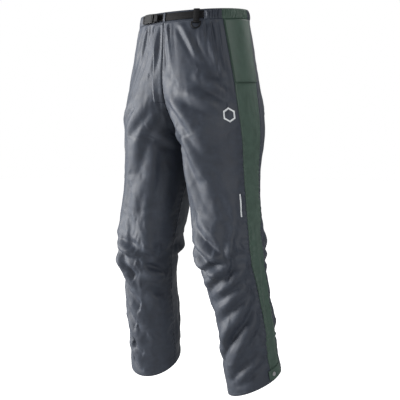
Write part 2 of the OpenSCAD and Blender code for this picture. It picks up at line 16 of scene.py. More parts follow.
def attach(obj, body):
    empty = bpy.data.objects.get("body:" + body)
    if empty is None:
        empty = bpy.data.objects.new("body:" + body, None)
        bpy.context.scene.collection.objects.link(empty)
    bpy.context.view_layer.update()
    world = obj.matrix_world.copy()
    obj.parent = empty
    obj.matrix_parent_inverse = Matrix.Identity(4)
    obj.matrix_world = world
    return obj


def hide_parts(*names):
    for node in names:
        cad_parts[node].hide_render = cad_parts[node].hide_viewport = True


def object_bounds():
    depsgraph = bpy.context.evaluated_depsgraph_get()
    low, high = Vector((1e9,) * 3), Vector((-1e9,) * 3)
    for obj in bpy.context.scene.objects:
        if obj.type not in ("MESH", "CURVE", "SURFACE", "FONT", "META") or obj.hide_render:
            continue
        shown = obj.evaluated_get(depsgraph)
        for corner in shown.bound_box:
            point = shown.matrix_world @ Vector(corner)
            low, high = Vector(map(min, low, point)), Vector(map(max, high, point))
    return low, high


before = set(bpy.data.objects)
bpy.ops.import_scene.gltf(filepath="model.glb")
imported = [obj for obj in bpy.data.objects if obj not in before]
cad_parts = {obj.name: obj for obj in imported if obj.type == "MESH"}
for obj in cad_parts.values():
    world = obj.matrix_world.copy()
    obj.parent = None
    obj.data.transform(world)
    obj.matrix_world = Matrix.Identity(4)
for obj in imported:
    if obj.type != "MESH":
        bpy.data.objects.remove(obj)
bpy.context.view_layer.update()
bpy.ops.object.select_all(action="DESELECT")

# %% [markdown]
# ## Camera
#
# A garment on a stand is usually taken from hip height with a long lens, so that neither the waist nor the hems look
# large. The camera stands to the wearer's left of the front, 2.6 m away, and looks down by about 2 degrees.

# %% Camera
CAMERA_TURN = math.radians(38.5)
CAMERA_DISTANCE, CAMERA_SIDESTEP = 2.6, 0.017
CAMERA_HEIGHT, AIM_HEIGHT, LENS = -0.42, -0.52, 82.8
toward_camera = Vector((math.sin(CAMERA_TURN), -math.cos(CAMERA_TURN), 0))
camera_right = Vector((math.cos(CAMERA_TURN), math.sin(CAMERA_TURN), 0))
aim = camera_right * CAMERA_SIDESTEP + Vector((0, 0, AIM_HEIGHT))

camera_data = bpy.data.cameras.new("camera")
camera_data.lens = LENS
camera = bpy.data.objects.new("camera", camera_data)
bpy.context.scene.collection.objects.link(camera)
camera.location = aim + toward_camera * CAMERA_DISTANCE + Vector((0, 0, CAMERA_HEIGHT - AIM_HEIGHT))
camera.rotation_euler = (aim - camera.location).to_track_quat("-Z", "Y").to_euler()
bpy.context.scene.camera = camera
print("camera at", [round(v, 3) for v in camera.location])

# %% [markdown]
# ## Helpers for materials
#
# A colour is picked on a screen, so it is an sRGB value. Blender's shaders work with linear light, and one
# function turns one into the other. A second small function adds a node, sets its values and joins its inputs.

# %% Colour and node helpers
def linear(hex_colour):
    """An sRGB hex colour such as #50555f, as linear red, green, blue and alpha."""
    parts = [int(hex_colour[i : i + 2], 16) / 255 for i in (1, 3, 5)]
    return [c / 12.92 if c <= 0.04045 else ((c + 0.055) / 1.055) ** 2.4 for c in parts] + [1.0]


def add_node(tree, kind, values=None, links=None, **settings):
    """Adds a node. values sets its sockets, links joins them to other nodes' outputs."""
    node = tree.nodes.new(kind)
    for name, value in settings.items():
        setattr(node, name, value)
    for name, value in (values or {}).items():
        node.inputs[name].default_value = value
    for name, output in (links or {}).items():
        tree.links.new(output, node.inputs[name])
    return node


def new_material(name, **shader_values):
    """A material with one Principled shader. Returns the material, its tree and the shader."""
    material = bpy.data.materials.new(name)
    material.use_nodes = True
    tree = material.node_tree
    shader = tree.nodes["Principled BSDF"]
    for socket, value in shader_values.items():
        shader.inputs[socket.replace("_", " ")].default_value = value
    return material, tree, shader


def wire(tree, shader, **outputs):
    """Joins other nodes' outputs to the shader's sockets. Base_Color stands for Base Color."""
    for socket, output in outputs.items():
        tree.links.new(output, shader.inputs[socket.replace("_", " ")])


# %% [markdown]
# ## Coated nylon
#
# The face cloth is a plain-woven nylon, about 0.3 mm a thread, with a polyurethane coating behind it. The eye sees a
# soft satin sheen that runs along each crease, a faint grain from the weave, and colour that is a little paler where
# the cloth has been folded. The weave is drawn at 0.9 mm a thread, because the real one is too fine to show, as bumps
# and as painted light on the threads with painted shade between them. The pattern reads the cloth's own UV map,
# which is laid out in real metres, so threads follow the panels.

# %% Coated nylon
THREAD = 0.0009
HALF_WAVES = 6.28  # half waves that a Wave texture of scale 1 makes in a unit, nearly: one is a thread or a rib


def coated_nylon(name, shade, pale, dark, roughness):
    """A woven, coated cloth. shade is its colour, pale and dark its worn and darker tones, mixed in at random."""
    material, tree, shader = new_material(name, Roughness=roughness, IOR=1.45, Specular_IOR_Level=0.5)
    uv = add_node(tree, "ShaderNodeUVMap", uv_map="cloth")
    mottle = add_node(tree, "ShaderNodeTexNoise", {"Scale": 38.0, "Detail": 5.0, "Roughness": 0.6},
                      {"Vector": uv.outputs["UV"]})
    tone = add_node(tree, "ShaderNodeValToRGB", None, {"Fac": mottle.outputs["Fac"]})
    ramp = tone.color_ramp.elements
    ramp[0].color, ramp[0].position = linear(dark), 0.30
    ramp[1].color, ramp[1].position = linear(pale), 0.74
    ramp.new(0.52).color = linear(shade)
    weave = add_node(tree, "ShaderNodeMath", operation="MULTIPLY")
    for k, axis in enumerate("XY"):
        threads = add_node(tree, "ShaderNodeTexWave", {"Scale": 1 / THREAD / HALF_WAVES, "Distortion": 0.6,
                           "Detail Scale": 2.0}, {"Vector": uv.outputs["UV"]}, bands_direction=axis)
        tree.links.new(threads.outputs["Fac"], weave.inputs[k])
    # The weave's height is also laid on the colour: painted light on the thread crossings, painted shade in the gaps.
    weave_light_and_shade = add_node(tree, "ShaderNodeMixRGB", {"Fac": 0.16}, {"Color1": tone.outputs["Color"],
                           "Color2": weave.outputs["Value"]}, blend_type="OVERLAY")
    crumple = add_node(tree, "ShaderNodeTexNoise", {"Scale": 160.0, "Detail": 3.0}, {"Vector": uv.outputs["UV"]})
    fine = add_node(tree, "ShaderNodeBump", {"Strength": 0.10, "Distance": 0.0003},
                    {"Height": weave.outputs["Value"]})
    soft = add_node(tree, "ShaderNodeBump", {"Strength": 0.16, "Distance": 0.0012},
                    {"Height": crumple.outputs["Fac"], "Normal": fine.outputs["Normal"]})
    gloss = add_node(tree, "ShaderNodeMapRange", {"From Min": 0.3, "From Max": 0.7, "To Min": roughness - 0.05,
                     "To Max": roughness + 0.08}, {"Value": mottle.outputs["Fac"]})
    wire(tree, shader, Base_Color=weave_light_and_shade.outputs["Color"], Roughness=gloss.outputs["Result"],
         Normal=soft.outputs["Normal"])
    return material


grey_nylon = coated_nylon("charcoal coated nylon", "#2c323d", "#323944", "#272c36", 0.60)
green_nylon = coated_nylon("moss green coated nylon", "#394c43", "#3f5349", "#33453c", 0.56)
print("cloth:", grey_nylon.name, "and", green_nylon.name)

# %% [markdown]
# ## Webbing, tape, plastic, nickel and thread
#
# The belt is a woven polyester strap with fine ribs across its width. They are drawn 2 mm wide, because the real ones
# are too fine to show. The buckle and D-ring are moulded acetal, which comes out of a fine spark-eroded mould with a
# satin grain. The press studs are nickel-plated brass. The thread is polyester, a shade paler than the cloth. The
# emblem and bar are silver transfers pressed on the cloth.

# %% Other finishes
WARP_END = 0.0011


def ribbed_webbing(name, shade, rib=0.0021):
    """A strap with ribs across it. Its UV map is in metres, with U along the strap."""
    material, tree, shader = new_material(name, Roughness=0.75, Specular_IOR_Level=0.2)
    uv = add_node(tree, "ShaderNodeUVMap", uv_map="cloth")
    both = add_node(tree, "ShaderNodeMath", operation="MULTIPLY")
    for k, (axis, width, waver) in enumerate([("X", rib, 0.4), ("Y", WARP_END, 0.3)]):
        bands = add_node(tree, "ShaderNodeTexWave", {"Scale": 1 / width / HALF_WAVES, "Distortion": waver},
                         {"Vector": uv.outputs["UV"]}, bands_direction=axis)
        tree.links.new(bands.outputs["Fac"], both.inputs[k])
    # The second shade #161618 follows the rib height that also drives the bump: on the black webbing it is a painted
    # highlight on the raised rib crossings, on the white elastic it marks those crossings dark.
    tone = add_node(tree, "ShaderNodeMixRGB", {"Color1": linear(shade), "Color2": linear("#161618")},
                    {"Fac": both.outputs["Value"]})
    bump = add_node(tree, "ShaderNodeBump", {"Strength": 0.6, "Distance": 0.0006}, {"Height": both.outputs["Value"]})
    wire(tree, shader, Base_Color=tone.outputs["Color"], Normal=bump.outputs["Normal"])
    return material


def grained(name, shade, other, roughness, grain=900.0, strength=0.08, metallic=0.0, shine=0.5):
    """A solid material with a fine grain, mixed from two near shades. Reads Object coordinates."""
    material, tree, shader = new_material(name, Metallic=metallic, Specular_IOR_Level=shine)
    place = add_node(tree, "ShaderNodeTexCoord")
    speck = add_node(tree, "ShaderNodeTexNoise", {"Scale": grain, "Detail": 3.0}, {"Vector": place.outputs["Object"]})
    tone = add_node(tree, "ShaderNodeMixRGB", {"Color1": linear(shade), "Color2": linear(other)},
                    {"Fac": speck.outputs["Fac"]})
    gloss = add_node(tree, "ShaderNodeMapRange", {"To Min": roughness - 0.06, "To Max": roughness + 0.06},
                     {"Value": speck.outputs["Fac"]})
    bump = add_node(tree, "ShaderNodeBump", {"Strength": strength, "Distance": 0.0002},
                    {"Height": speck.outputs["Fac"]})
    wire(tree, shader, Base_Color=tone.outputs["Color"], Roughness=gloss.outputs["Result"],
         Normal=bump.outputs["Normal"])
    return material


black_webbing = ribbed_webbing("black polyester webbing", "#08080a")
black_acetal = grained("black moulded acetal", "#0a0b0c", "#101113", 0.58, shine=0.15)
nickel = grained("nickel-plated brass", "#b9babb", "#a7a8aa", 0.28, grain=400.0, strength=0.03, metallic=1.0)
grey_thread = grained("grey polyester thread", "#3b3f47", "#464a53", 0.55, grain=2500.0)
green_thread = grained("green polyester thread", "#3f5046", "#4a5b50", 0.55, grain=2500.0)
silver_transfer = grained("silver reflective transfer", "#d4d7d9", "#c6c9cc", 0.35, grain=1500.0)
hook_tape = grained("black hook and loop tape", "#17181a", "#242527", 0.85, grain=1600.0, strength=0.9)
seam_tape = grained("grey seam tape", "#2c3037", "#353a42", 0.35, grain=500.0)
elastic_knit = ribbed_webbing("white knitted elastic", "#d9d7ce", rib=0.0016)
label_satin = grained("white satin label", "#e7e6e0", "#dcdbd5", 0.45, grain=1200.0)
print("finishes:", len(bpy.data.materials))

# %% [markdown]
# ## The shape of the trousers
#
# The CAD builds the cloth as rings round the hips and then round each leg. Each ring has a height, an outer and an
# inner edge, a depth, and two slopes. A smooth curve runs through the rings. The same rings are used here, in
# millimetres, so the cloth starts exactly on the CAD's skin.

# %% Rings and the smooth surface
RISE, LEG = 345, 672
HEM_LIFT = 22
CROTCH_ROW, HEM_ROW, FLAP_ROW = 5, 12, 3
# Each ring is [height, outer edge, inner edge, middle of the depth, half depth, pitch, roll].
BAND = 28
HIP_WIDE, HIP_DEEP, SEAT_WIDE, SEAT_DEEP = 168, 130, 205, 153
SEAT = [
    (0.35, 0.38, 0.78, 0.30, 0.06), (0.58, 0.68, 0.46, 0.78, 0.05),
    (0.80, 0.90, 0.19, 1.00, 0.04), (1.00, 1.00, 0.00, 0.57, 0.03),
]
HIPS = [[0, 164, -164, 0, 126, 0.07, 0], [-BAND, HIP_WIDE, -HIP_WIDE, 0, HIP_DEEP, 0.07, 0]]
for down, wide, share, deep, pitch in SEAT:
    half = round(HIP_WIDE + (SEAT_WIDE - HIP_WIDE) * wide, 2)
    depth = round(HIP_DEEP + (SEAT_DEEP - HIP_DEEP) * deep, 2)
    HIPS.append([-RISE * down, half, round(-half * share, 2), 0, depth, pitch, 0])
DOWN = [0.14, 0.29, 0.44, 0.585, 0.76, 0.91, 1]
WIDE = [98, 91.7, 91, 82, 77.5, 73.9, 73]
DEEP = [1.22, 1.11, 1.05, 1.02, 1.02, 1.02, 1.03]
LEFT_STANCE = [
    [106, -4, 0.02, 0.03], [122, -12, 0.03, 0.05], [140, -20, 0.08, 0.08], [158, -6, 0.14, 0.12],
    [167, 18, 0.21, 0.17], [173, 34, 0.29, 0.21], [178, 46, 0.38, 0.25],
]
RIGHT_STANCE = [
    [112, -8, 0.02, 0.03], [125, -22, 0.03, 0.04], [137, -31, 0.08, 0.05], [147, -20, 0.20, 0.07],
    [155, 2, 0.32, 0.09], [165, 22, 0.44, 0.12], [173, 34, 0.55, 0.15],
]


def leg_rings(stance, lift):
    """The rings of one leg. The right hem stands higher, because that knee is bent."""
    return [[-RISE - (LEG - lift) * down, mid + half, mid - half, front_back, half * deep, pitch, roll]
            for down, half, deep, (mid, front_back, pitch, roll) in zip(DOWN, WIDE, DEEP, stance)]


RINGS = {side: np.array(HIPS + leg_rings(stance, lift), float)
         for side, stance, lift in ((1, LEFT_STANCE, 0), (-1, RIGHT_STANCE, HEM_LIFT))}


def ring_at(side, row):
    """The ring at a row, on a smooth curve through the stations."""
    rings = RINGS[side]
    row = np.atleast_1d(np.asarray(row, float))
    i = np.minimum(np.floor(row).astype(int), len(rings) - 2)
    f = (row - i)[:, None]
    p0, p1 = rings[np.maximum(i - 1, 0)], rings[i]
    p2, p3 = rings[i + 1], rings[np.minimum(i + 2, len(rings) - 1)]
    bend, twist = 2 * p0 - 5 * p1 + 4 * p2 - p3, 3 * p1 - p0 - 3 * p2 + p3
    return 0.5 * (2 * p1 + (p2 - p0) * f + bend * f**2 + twist * f**3)


def cloth_at(side, row, angle, off=0.0):
    """Points of the cloth in metres. Angle 90 is the front, 180 the outer side and 270 the back."""
    row, angle, off = np.broadcast_arrays(*(np.asarray(v, float) for v in (row, angle, off)))
    ring = ring_at(side, row.ravel())
    angle, off = np.radians(angle.ravel()), off.ravel()
    mid, half = (ring[:, 1] + ring[:, 2]) / 2, (ring[:, 1] - ring[:, 2]) / 2 + off
    x = np.maximum(0, mid - half * np.cos(angle))
    y = ring[:, 3] - (ring[:, 4] + off) * np.sin(angle)
    z = ring[:, 0] + ring[:, 5] * (y - ring[:, 3]) + ring[:, 6] * (x - mid)
    return np.stack([side * x, y, z], 1).reshape(row.shape + (3,)) / 1000


def centre_angle(side, row):
    """Where the cloth meets the middle plane, 0 below the crotch."""
    ring = ring_at(side, row)
    share = np.clip((ring[:, 1] + ring[:, 2]) / (ring[:, 1] - ring[:, 2]), -1, 1)
    return np.degrees(np.arccos(share))


def front_seam(row):
    return 180 - np.interp(row, [0, 1, 2, 3, 4, 6, 12], [29, 28, 25, 22, 20, 16, 13])


def back_seam(row):
    return 180 + np.interp(row, [0, 3, 5, 7, 12], [13, 13, 15, 23, 23])


print("waist to hem:", RISE + LEG, "mm")

# %% [markdown]
# ## One cloth for both legs
#
# The two legs are sewn to each other along the crotch seam, so a fold runs from one panel into the next. The panels
# are therefore laid out as one net, about 8 mm by 5 mm, and cut apart at the seams once the cloth has creased. Points
# on the middle plane are shared by both sides, and points on the inseam by both ends of a ring.

# %% The net
FRONT_COLUMNS, SIDE_COLUMNS, BACK_COLUMNS = 46, 14, 50
COLUMNS = FRONT_COLUMNS + SIDE_COLUMNS + BACK_COLUMNS
SIDES = (1, -1)


def net_rows():
    """Rows about 8 mm apart, from under the waistband to the hem, with one on every station."""
    heights = RINGS[1][:, 0]
    found = [1.0]
    for k in range(1, HEM_ROW):
        count = max(2, round((heights[k] - heights[k + 1]) / 8))
        found += [k + (i + 1) / count for i in range(count)]
    return np.array(found)


def net_angles(side, rows):
    """The angle of every column at every row."""
    start, front, back = centre_angle(side, rows), front_seam(rows), back_seam(rows)
    spans = [(start, front, FRONT_COLUMNS), (front, back, SIDE_COLUMNS), (back, 360 - start, BACK_COLUMNS)]
    parts = [a[:, None] + (b - a)[:, None] * np.arange(n)[None, :] / n for a, b, n in spans]
    return np.concatenate(parts + [(360 - start)[:, None]], 1)


rows = net_rows()
angles = {side: net_angles(side, rows) for side in SIDES}
skin = {side: cloth_at(side, np.broadcast_to(rows[:, None], angles[side].shape), angles[side]) for side in SIDES}
above = rows < CROTCH_ROW + 1e-6


def normals(grids, open_above):
    """Outward normals of both sides' grids, padded so that they match across the middle and the inseam."""
    found = {}
    for side in SIDES:
        own, other = grids[side], grids[-side]
        left = np.where(open_above[:, None], other[:, 1], own[:, -2])
        right = np.where(open_above[:, None], other[:, -2], own[:, 1])
        wide = np.concatenate([left[:, None], own, right[:, None]], 1)
        across = wide[:, 2:] - wide[:, :-2]
        down = np.gradient(own, axis=0)
        n = side * np.cross(down, across)
        found[side] = n / np.maximum(np.linalg.norm(n, axis=2, keepdims=True), 1e-9)
    return found


print("net:", len(rows), "rows of", COLUMNS, "columns on each side")

# %% [markdown]
# ## Where the cloth can't move
#
# The waistband, the turned hem, the side opening with its flap, and the hem tab with its press stud all hold the
# cloth to its shape. Free cloth between them creases. The hold is 1 at those places and fades over 20 to 40 mm.

# %% Holds
def smooth_step(low, high, value):
    f = np.clip((value - low) / (high - low), 0, 1)
    return f * f * (3 - 2 * f)


def hold(row, angle):
    """1 where the cloth is held and 0 where it's free."""
    waist = 1 - smooth_step(1.0, 1.22, row)
    hem = smooth_step(11.55, 12.0, row)
    near_front, near_back = front_seam(row) - angle, angle - back_seam(row)
    opening = (1 - smooth_step(3.0, 3.4, row)) * (1 - smooth_step(1, 14, np.maximum(near_front, near_back)))
    tab = smooth_step(11.0, 11.35, row) * (1 - smooth_step(24, 42, np.abs(angle - 180)))
    return np.maximum.reduce([waist, hem, opening, tab])


held = {side: hold(np.broadcast_to(rows[:, None], angles[side].shape), angles[side]) for side in SIDES}
print("held share:", round(float(held[1].mean()), 2))

# %% [markdown]
# ## Creases set by the wearer
#
# A body that moves in stiff cloth leaves creases in fixed places: gathers under the belt, folds that fan out from the
# crotch, rings and diagonals round the bent knees, and slack above the boots. Each crease here is a line on the cloth
# from a height and angle to another, with a depth and a width. It is a soft ridge with a sharper valley under it.
# Heights are in millimetres below the waist. Angle 90 is the front of that side's leg and 180 the outside. A row
# says where a crease starts, where it ends, its depth and its width.

# %% Creases
CREASES = {
    1: [
        [(35, 96), (150, 92), 7, 15], [(32, 108), (130, 124), 6, 13], [(40, 120), (165, 142), 7, 15],
        [(60, 132), (190, 150), 5, 14], [(34, 84), (110, 80), 6, 12],
        [(225, 72), (300, 100), 8, 18], [(215, 96), (270, 140), 8, 18], [(250, 78), (370, 112), 9, 20],
        [(290, 62), (440, 96), 9, 20], [(180, 120), (235, 152), 6, 16], [(330, 60), (350, 30), 8, 18],
        [(360, 88), (520, 116), 6, 24], [(420, 60), (560, 84), 6, 22], [(470, 130), (560, 150), 5, 20],
        [(560, 78), (640, 128), 9, 17], [(600, 52), (668, 118), 10, 16], [(640, 40), (706, 104), 10, 16],
        [(668, 62), (640, 146), 7, 16], [(720, 58), (668, 134), 9, 17], [(750, 72), (700, 150), 8, 16],
        [(655, 30), (645, -20), 11, 20], [(700, 30), (715, -10), 9, 18],
        [(800, 66), (745, 136), 7, 18], [(860, 74), (775, 144), 8, 20], [(925, 82), (840, 146), 7, 18],
        [(960, 70), (890, 136), 6, 16], [(905, 50), (835, 92), 6, 18], [(975, 98), (945, 150), 5, 12],
        [(620, 212), (660, 262), 9, 18], [(660, 214), (690, 268), 9, 17], [(700, 220), (684, 280), 8, 18],
        [(345, 300), (430, 250), 9, 20], [(380, 330), (470, 280), 8, 20], [(760, 220), (820, 272), 7, 20],
        [(860, 214), (905, 270), 7, 20], [(60, 214), (180, 226), 5, 18], [(60, 250), (200, 262), 5, 18],
        [(250, 226), (330, 262), 6, 22],
    ],
    -1: [
        [(36, 100), (150, 94), 8, 15], [(34, 112), (120, 116), 6, 12], [(42, 126), (150, 132), 5, 13],
        [(60, 140), (180, 138), 5, 15],
        [(235, 74), (330, 108), 8, 19], [(265, 66), (420, 92), 8, 20], [(225, 98), (300, 136), 6, 18],
        [(330, 60), (352, 28), 8, 18], [(300, 96), (540, 112), 6, 22], [(380, 58), (540, 66), 8, 22],
        [(470, 80), (580, 96), 6, 20],
        [(640, 132), (655, 62), 10, 17], [(668, 140), (690, 66), 10, 16], [(700, 62), (726, 20), 10, 17],
        [(660, 120), (740, 84), 8, 16], [(620, 74), (650, 34), 8, 17], [(600, 140), (630, 112), 6, 16],
        [(760, 128), (850, 58), 7, 22], [(830, 132), (905, 74), 6, 20], [(905, 126), (960, 80), 5, 16],
        [(760, 60), (800, 20), 7, 20], [(640, 300), (655, 340), 10, 18],
        [(620, 212), (660, 262), 9, 18], [(662, 216), (692, 270), 9, 17], [(704, 220), (690, 282), 8, 18],
        [(350, 300), (440, 250), 9, 20], [(385, 330), (475, 284), 8, 20], [(760, 224), (820, 276), 7, 20],
        [(60, 216), (180, 228), 5, 18], [(60, 252), (200, 264), 5, 18], [(250, 228), (330, 264), 6, 22],
    ],
}


SAMPLES = 49  # points along one crease


def row_at_height(side, below):
    return np.interp(below, -RINGS[side][:, 0], np.arange(len(RINGS[side])))


def crease(points, side, start, end, depth, width):
    """How far one crease moves each point outwards, in metres."""
    f = np.linspace(0, 1, SAMPLES)
    below = start[0] + (end[0] - start[0]) * f
    turn = start[1] + (end[1] - start[1]) * f
    line = cloth_at(side, row_at_height(side, below), turn)
    away = np.linalg.norm(points[:, None] - line[None], axis=2)
    near = away.argmin(1)
    distance = away[np.arange(len(points)), near]
    k = SAMPLES // 2
    out = cloth_at(side, row_at_height(side, below[k]), turn[k], 9.0)[0] - line[k]
    below_it = np.cross(line[-1] - line[0], out)
    below_it *= 1 if below_it[2] < 0 else -1
    under = np.sign(((points - line[near]) * below_it).sum(1) + 1e-9)
    fade = np.sin(np.pi * np.clip(f[near] * 0.86 + 0.07, 0, 1)) ** 0.7
    w = width / 1000
    ridge = np.exp(-((distance / w) ** 2))
    valley = np.exp(-(((distance - 1.25 * w) / (0.6 * w)) ** 2)) * (under > 0)
    lower = 0.85 + 0.5 * smooth_step(480, 620, start[0])
    return lower * depth / 1000 * fade * (ridge - 0.85 * valley)


def gathers(side):
    """Upright pleats that run out under the waistband, in metres outwards."""
    turn, row = angles[side], np.broadcast_to(rows[:, None], angles[side].shape)
    below = np.interp(row, np.arange(len(RINGS[side])), -RINGS[side][:, 0]) - BAND
    phase = turn / 7.5 + 1.1 * np.sin(turn * 0.13 + side) + 0.004 * below * np.sin(turn * 0.21)
    pleat = 0.75 * np.sin(2 * np.pi * phase / 1.6) + 0.35 * np.sin(2 * np.pi * phase / 0.83 + 1)
    rise_then_fade = smooth_step(0, 26, below) * np.exp(-below / (62 + 34 * np.sin(turn * 0.17 + 2)))
    return 0.0046 * pleat * rise_then_fade


def creased(side, points):
    total = gathers(side).ravel()
    for start, end, depth, width in CREASES[side]:
        total += crease(points, side, start, end, depth, width)
    return total


flat_normals = normals(skin, above)
start_shape = {}
for side in SIDES:
    flat = skin[side].reshape(-1, 3)
    push = creased(side, flat) * (1 - held[side].ravel())
    middle = np.abs(flat[:, 0]) < 0.012
    push[middle] *= 0.3
    start_shape[side] = (flat + flat_normals[side].reshape(-1, 3) * push[:, None]).reshape(skin[side].shape)
print("creases:", sum(len(c) for c in CREASES.values()))

# %% [markdown]
# ## One mesh for the simulation
#
# The two sides' grids become one mesh, with the shared points welded, so that the cloth pulls across the seams.

# %% Joined net
def joined_net(grids):
    """One mesh of both sides, with the shared points welded. Returns points, faces and each grid's point numbers."""
    points, faces, numbers, seen = [], [], {}, {}
    for side in SIDES:
        grid = grids[side]
        ids = np.zeros(grid.shape[:2], int)
        for i in range(grid.shape[0]):
            for j in range(grid.shape[1]):
                edge = j in (0, grid.shape[1] - 1)
                key = (side, i, j)
                if edge and abs(rows[i] - CROTCH_ROW) < 1e-6:
                    key = "crotch"
                elif edge and above[i]:
                    key = (i, j > 0)
                elif edge:
                    key = (side, i)
                if key not in seen:
                    seen[key] = len(points)
                    points.append(grid[i, j])
                ids[i, j] = seen[key]
        numbers[side] = ids
        for i in range(grid.shape[0] - 1):
            for j in range(grid.shape[1] - 1):
                face = [ids[i, j], ids[i + 1, j], ids[i + 1, j + 1], ids[i, j + 1]]
                face = list(dict.fromkeys(int(v) for v in (face if side > 0 else face[::-1])))
                if len(face) > 2:
                    faces.append(face)
    return np.array(points), faces, numbers


def mesh_object(name, points, faces):
    mesh = bpy.data.meshes.new(name)
    mesh.from_pydata([tuple(p) for p in points], [], faces)
    mesh.update()
    obj = bpy.data.objects.new(name, mesh)
    bpy.context.scene.collection.objects.link(obj)
    return obj


print("joined net:", len(joined_net(start_shape)[0]), "points")

# %% [markdown]
# ## Draping
#
# Blender's cloth simulation lets every edge of the creased net grow by up to 6.5 %, most of all at the knees, so the
# surplus buckles, and gravity pulls it down. A form inside stands in for the wearer's legs. The simulation by itself
# makes thin wrinkles like drips and bunches the hems, so its shape is mixed with the one from the set creases: it
# counts for 15 % all over and for 65 % at the knees. The rest of the folds are the creases placed above and the small
# noise wrinkles pressed in below. The mesh keeps the result, so no simulation is left in the file.

# %% Simulation
NYLON_DRAPE = {
    "quality": 5, "mass": 0.25, "air_damping": 3, "tension_stiffness": 18, "compression_stiffness": 18,
    "shear_stiffness": 10, "bending_stiffness": 5, "tension_damping": 8, "compression_damping": 8,
    "vertex_group_mass": "held", "pin_stiffness": 4, "shrink_min": 0.0, "shrink_max": -0.065,
    "vertex_group_shrink": "slack",
}


def drape(grids, frames=24):
    """Simulates the cloth and returns the draped grids."""
    points, faces, numbers = joined_net(grids)
    cloth = mesh_object("drape", points, faces)
    holding = np.zeros(len(points))
    slack = np.zeros(len(points))
    inside = np.zeros((len(points), 3))
    for side in SIDES:
        ids = numbers[side].ravel()
        holding[ids] = held[side].ravel()
        down = np.broadcast_to(rows[:, None], angles[side].shape).ravel()
        knee = np.exp(-(((down - 8.0) / 1.1) ** 2))
        hips = 0.3 * (1 - smooth_step(2.0, 4.0, down))
        slack[ids] = (0.12 + 0.88 * knee + hips) * (1 - 0.8 * held[side].ravel())
        inside[ids] = (skin[side] - flat_normals[side] * 0.016).reshape(-1, 3)
    pins = cloth.vertex_groups.new(name="held")
    loose = cloth.vertex_groups.new(name="slack")
    for k in range(len(points)):
        if holding[k] > 0.02:
            pins.add([k], float(holding[k]), "REPLACE")
        loose.add([k], float(slack[k]), "REPLACE")
    form = mesh_object("form", inside, faces)
    form.modifiers.new("collision", "COLLISION")
    form.collision.thickness_outer = 0.002
    form.collision.cloth_friction = 4
    bpy.context.view_layer.update()
    modifier = cloth.modifiers.new("cloth", "CLOTH")
    settings = modifier.settings
    for name, value in NYLON_DRAPE.items():
        setattr(settings, name, value)
    settings.effector_weights.gravity = 0.4
    modifier.collision_settings.distance_min = 0.002
    modifier.collision_settings.collision_quality = 2
    scene = bpy.context.scene
    for number in range(1, frames + 1):
        scene.frame_set(number)
    shape = cloth.evaluated_get(bpy.context.evaluated_depsgraph_get()).to_mesh()
    out = np.zeros(len(shape.vertices) * 3)
    shape.vertices.foreach_get("co", out)
    out = out.reshape(-1, 3)
    scene.frame_set(1)
    for obj in (cloth, form):
        mesh = obj.data
        bpy.data.objects.remove(obj)
        bpy.data.meshes.remove(mesh)
    return {side: out[numbers[side]] for side in SIDES}


SIMULATED, SIMULATED_MORE = 0.15, 0.5  # the simulation's share of the shape, and how much more at the knees
draped = drape(start_shape)
for side in SIDES:
    deep = smooth_step(6.3, 7.4, rows) * (1 - smooth_step(9.6, 11.0, rows))
    share_kept = (SIMULATED + SIMULATED_MORE * deep)[:, None, None]
    draped[side] = start_shape[side] * (1 - share_kept) + draped[side] * share_kept
    lock = smooth_step(0.75, 1.0, held[side])[..., None]
    draped[side] = draped[side] * (1 - lock) + skin[side] * lock
print("moved at most", round(max(float(np.linalg.norm(draped[s] - skin[s], axis=2).max()) for s in SIDES), 3), "m")

# %% [markdown]
# ## Finer cloth
#
# The net is doubled with a smooth curve through its points, so that small wrinkles have points to sit on.

# %% Doubling
def doubled(values, axis, before, after):
    """Twice the points along an axis, on a smooth curve. before and after are the neighbours past each end."""
    values = np.moveaxis(values, axis, 0)
    padded = np.concatenate([before[None], values, after[None]], 0)
    between = (-padded[:-3] + 9 * padded[1:-2] + 9 * padded[2:-1] - padded[3:]) / 16
    out = np.empty((2 * len(values) - 1,) + values.shape[1:])
    out[::2], out[1::2] = values, between
    return np.moveaxis(out, 0, axis)


def finer(grids):
    out = {}
    for side in SIDES:
        own, other = grids[side], grids[-side]
        left = np.where(above[:, None], other[:, 1], own[:, -2])
        right = np.where(above[:, None], other[:, -2], own[:, 1])
        wide = doubled(own, 1, left, right)
        out[side] = doubled(wide, 0, 2 * wide[0] - wide[1], 2 * wide[-1] - wide[-2])
    return out


fine_rows = np.interp(np.arange(2 * len(rows) - 1) / 2, np.arange(len(rows)), rows)
fine_above = fine_rows < CROTCH_ROW + 1e-6
fine_angles = {}
for side in SIDES:
    steps = np.arange(2 * COLUMNS + 1) / 2
    wide = np.stack([np.interp(steps, np.arange(COLUMNS + 1), a) for a in angles[side]])
    fine_angles[side] = np.stack([(wide[i // 2] + wide[(i + 1) // 2]) / 2 for i in range(len(fine_rows))])
fine = finer(draped)
SEAMS = [0, 2 * FRONT_COLUMNS, 2 * (FRONT_COLUMNS + SIDE_COLUMNS), 2 * COLUMNS]


def along_row(grid):
    """The length of cloth from the first column, in metres."""
    step = np.linalg.norm(np.diff(grid, axis=1), axis=2)
    return np.concatenate([np.zeros((len(grid), 1)), np.cumsum(step, 1)], 1)


def along_column(grid, column):
    step = np.linalg.norm(np.diff(grid[:, column], axis=0), axis=1)
    return np.concatenate([[0], np.cumsum(step)])


print("fine net:", fine[1].shape[0], "by", fine[1].shape[1])

# %% [markdown]
# ## Wrinkles and seams
#
# Small wrinkles are pressed in: crumples where the cloth bends most, puckers along the sewn seams, and a groove with
# a padded edge at each seam, where four layers of cloth lie under the stitches.

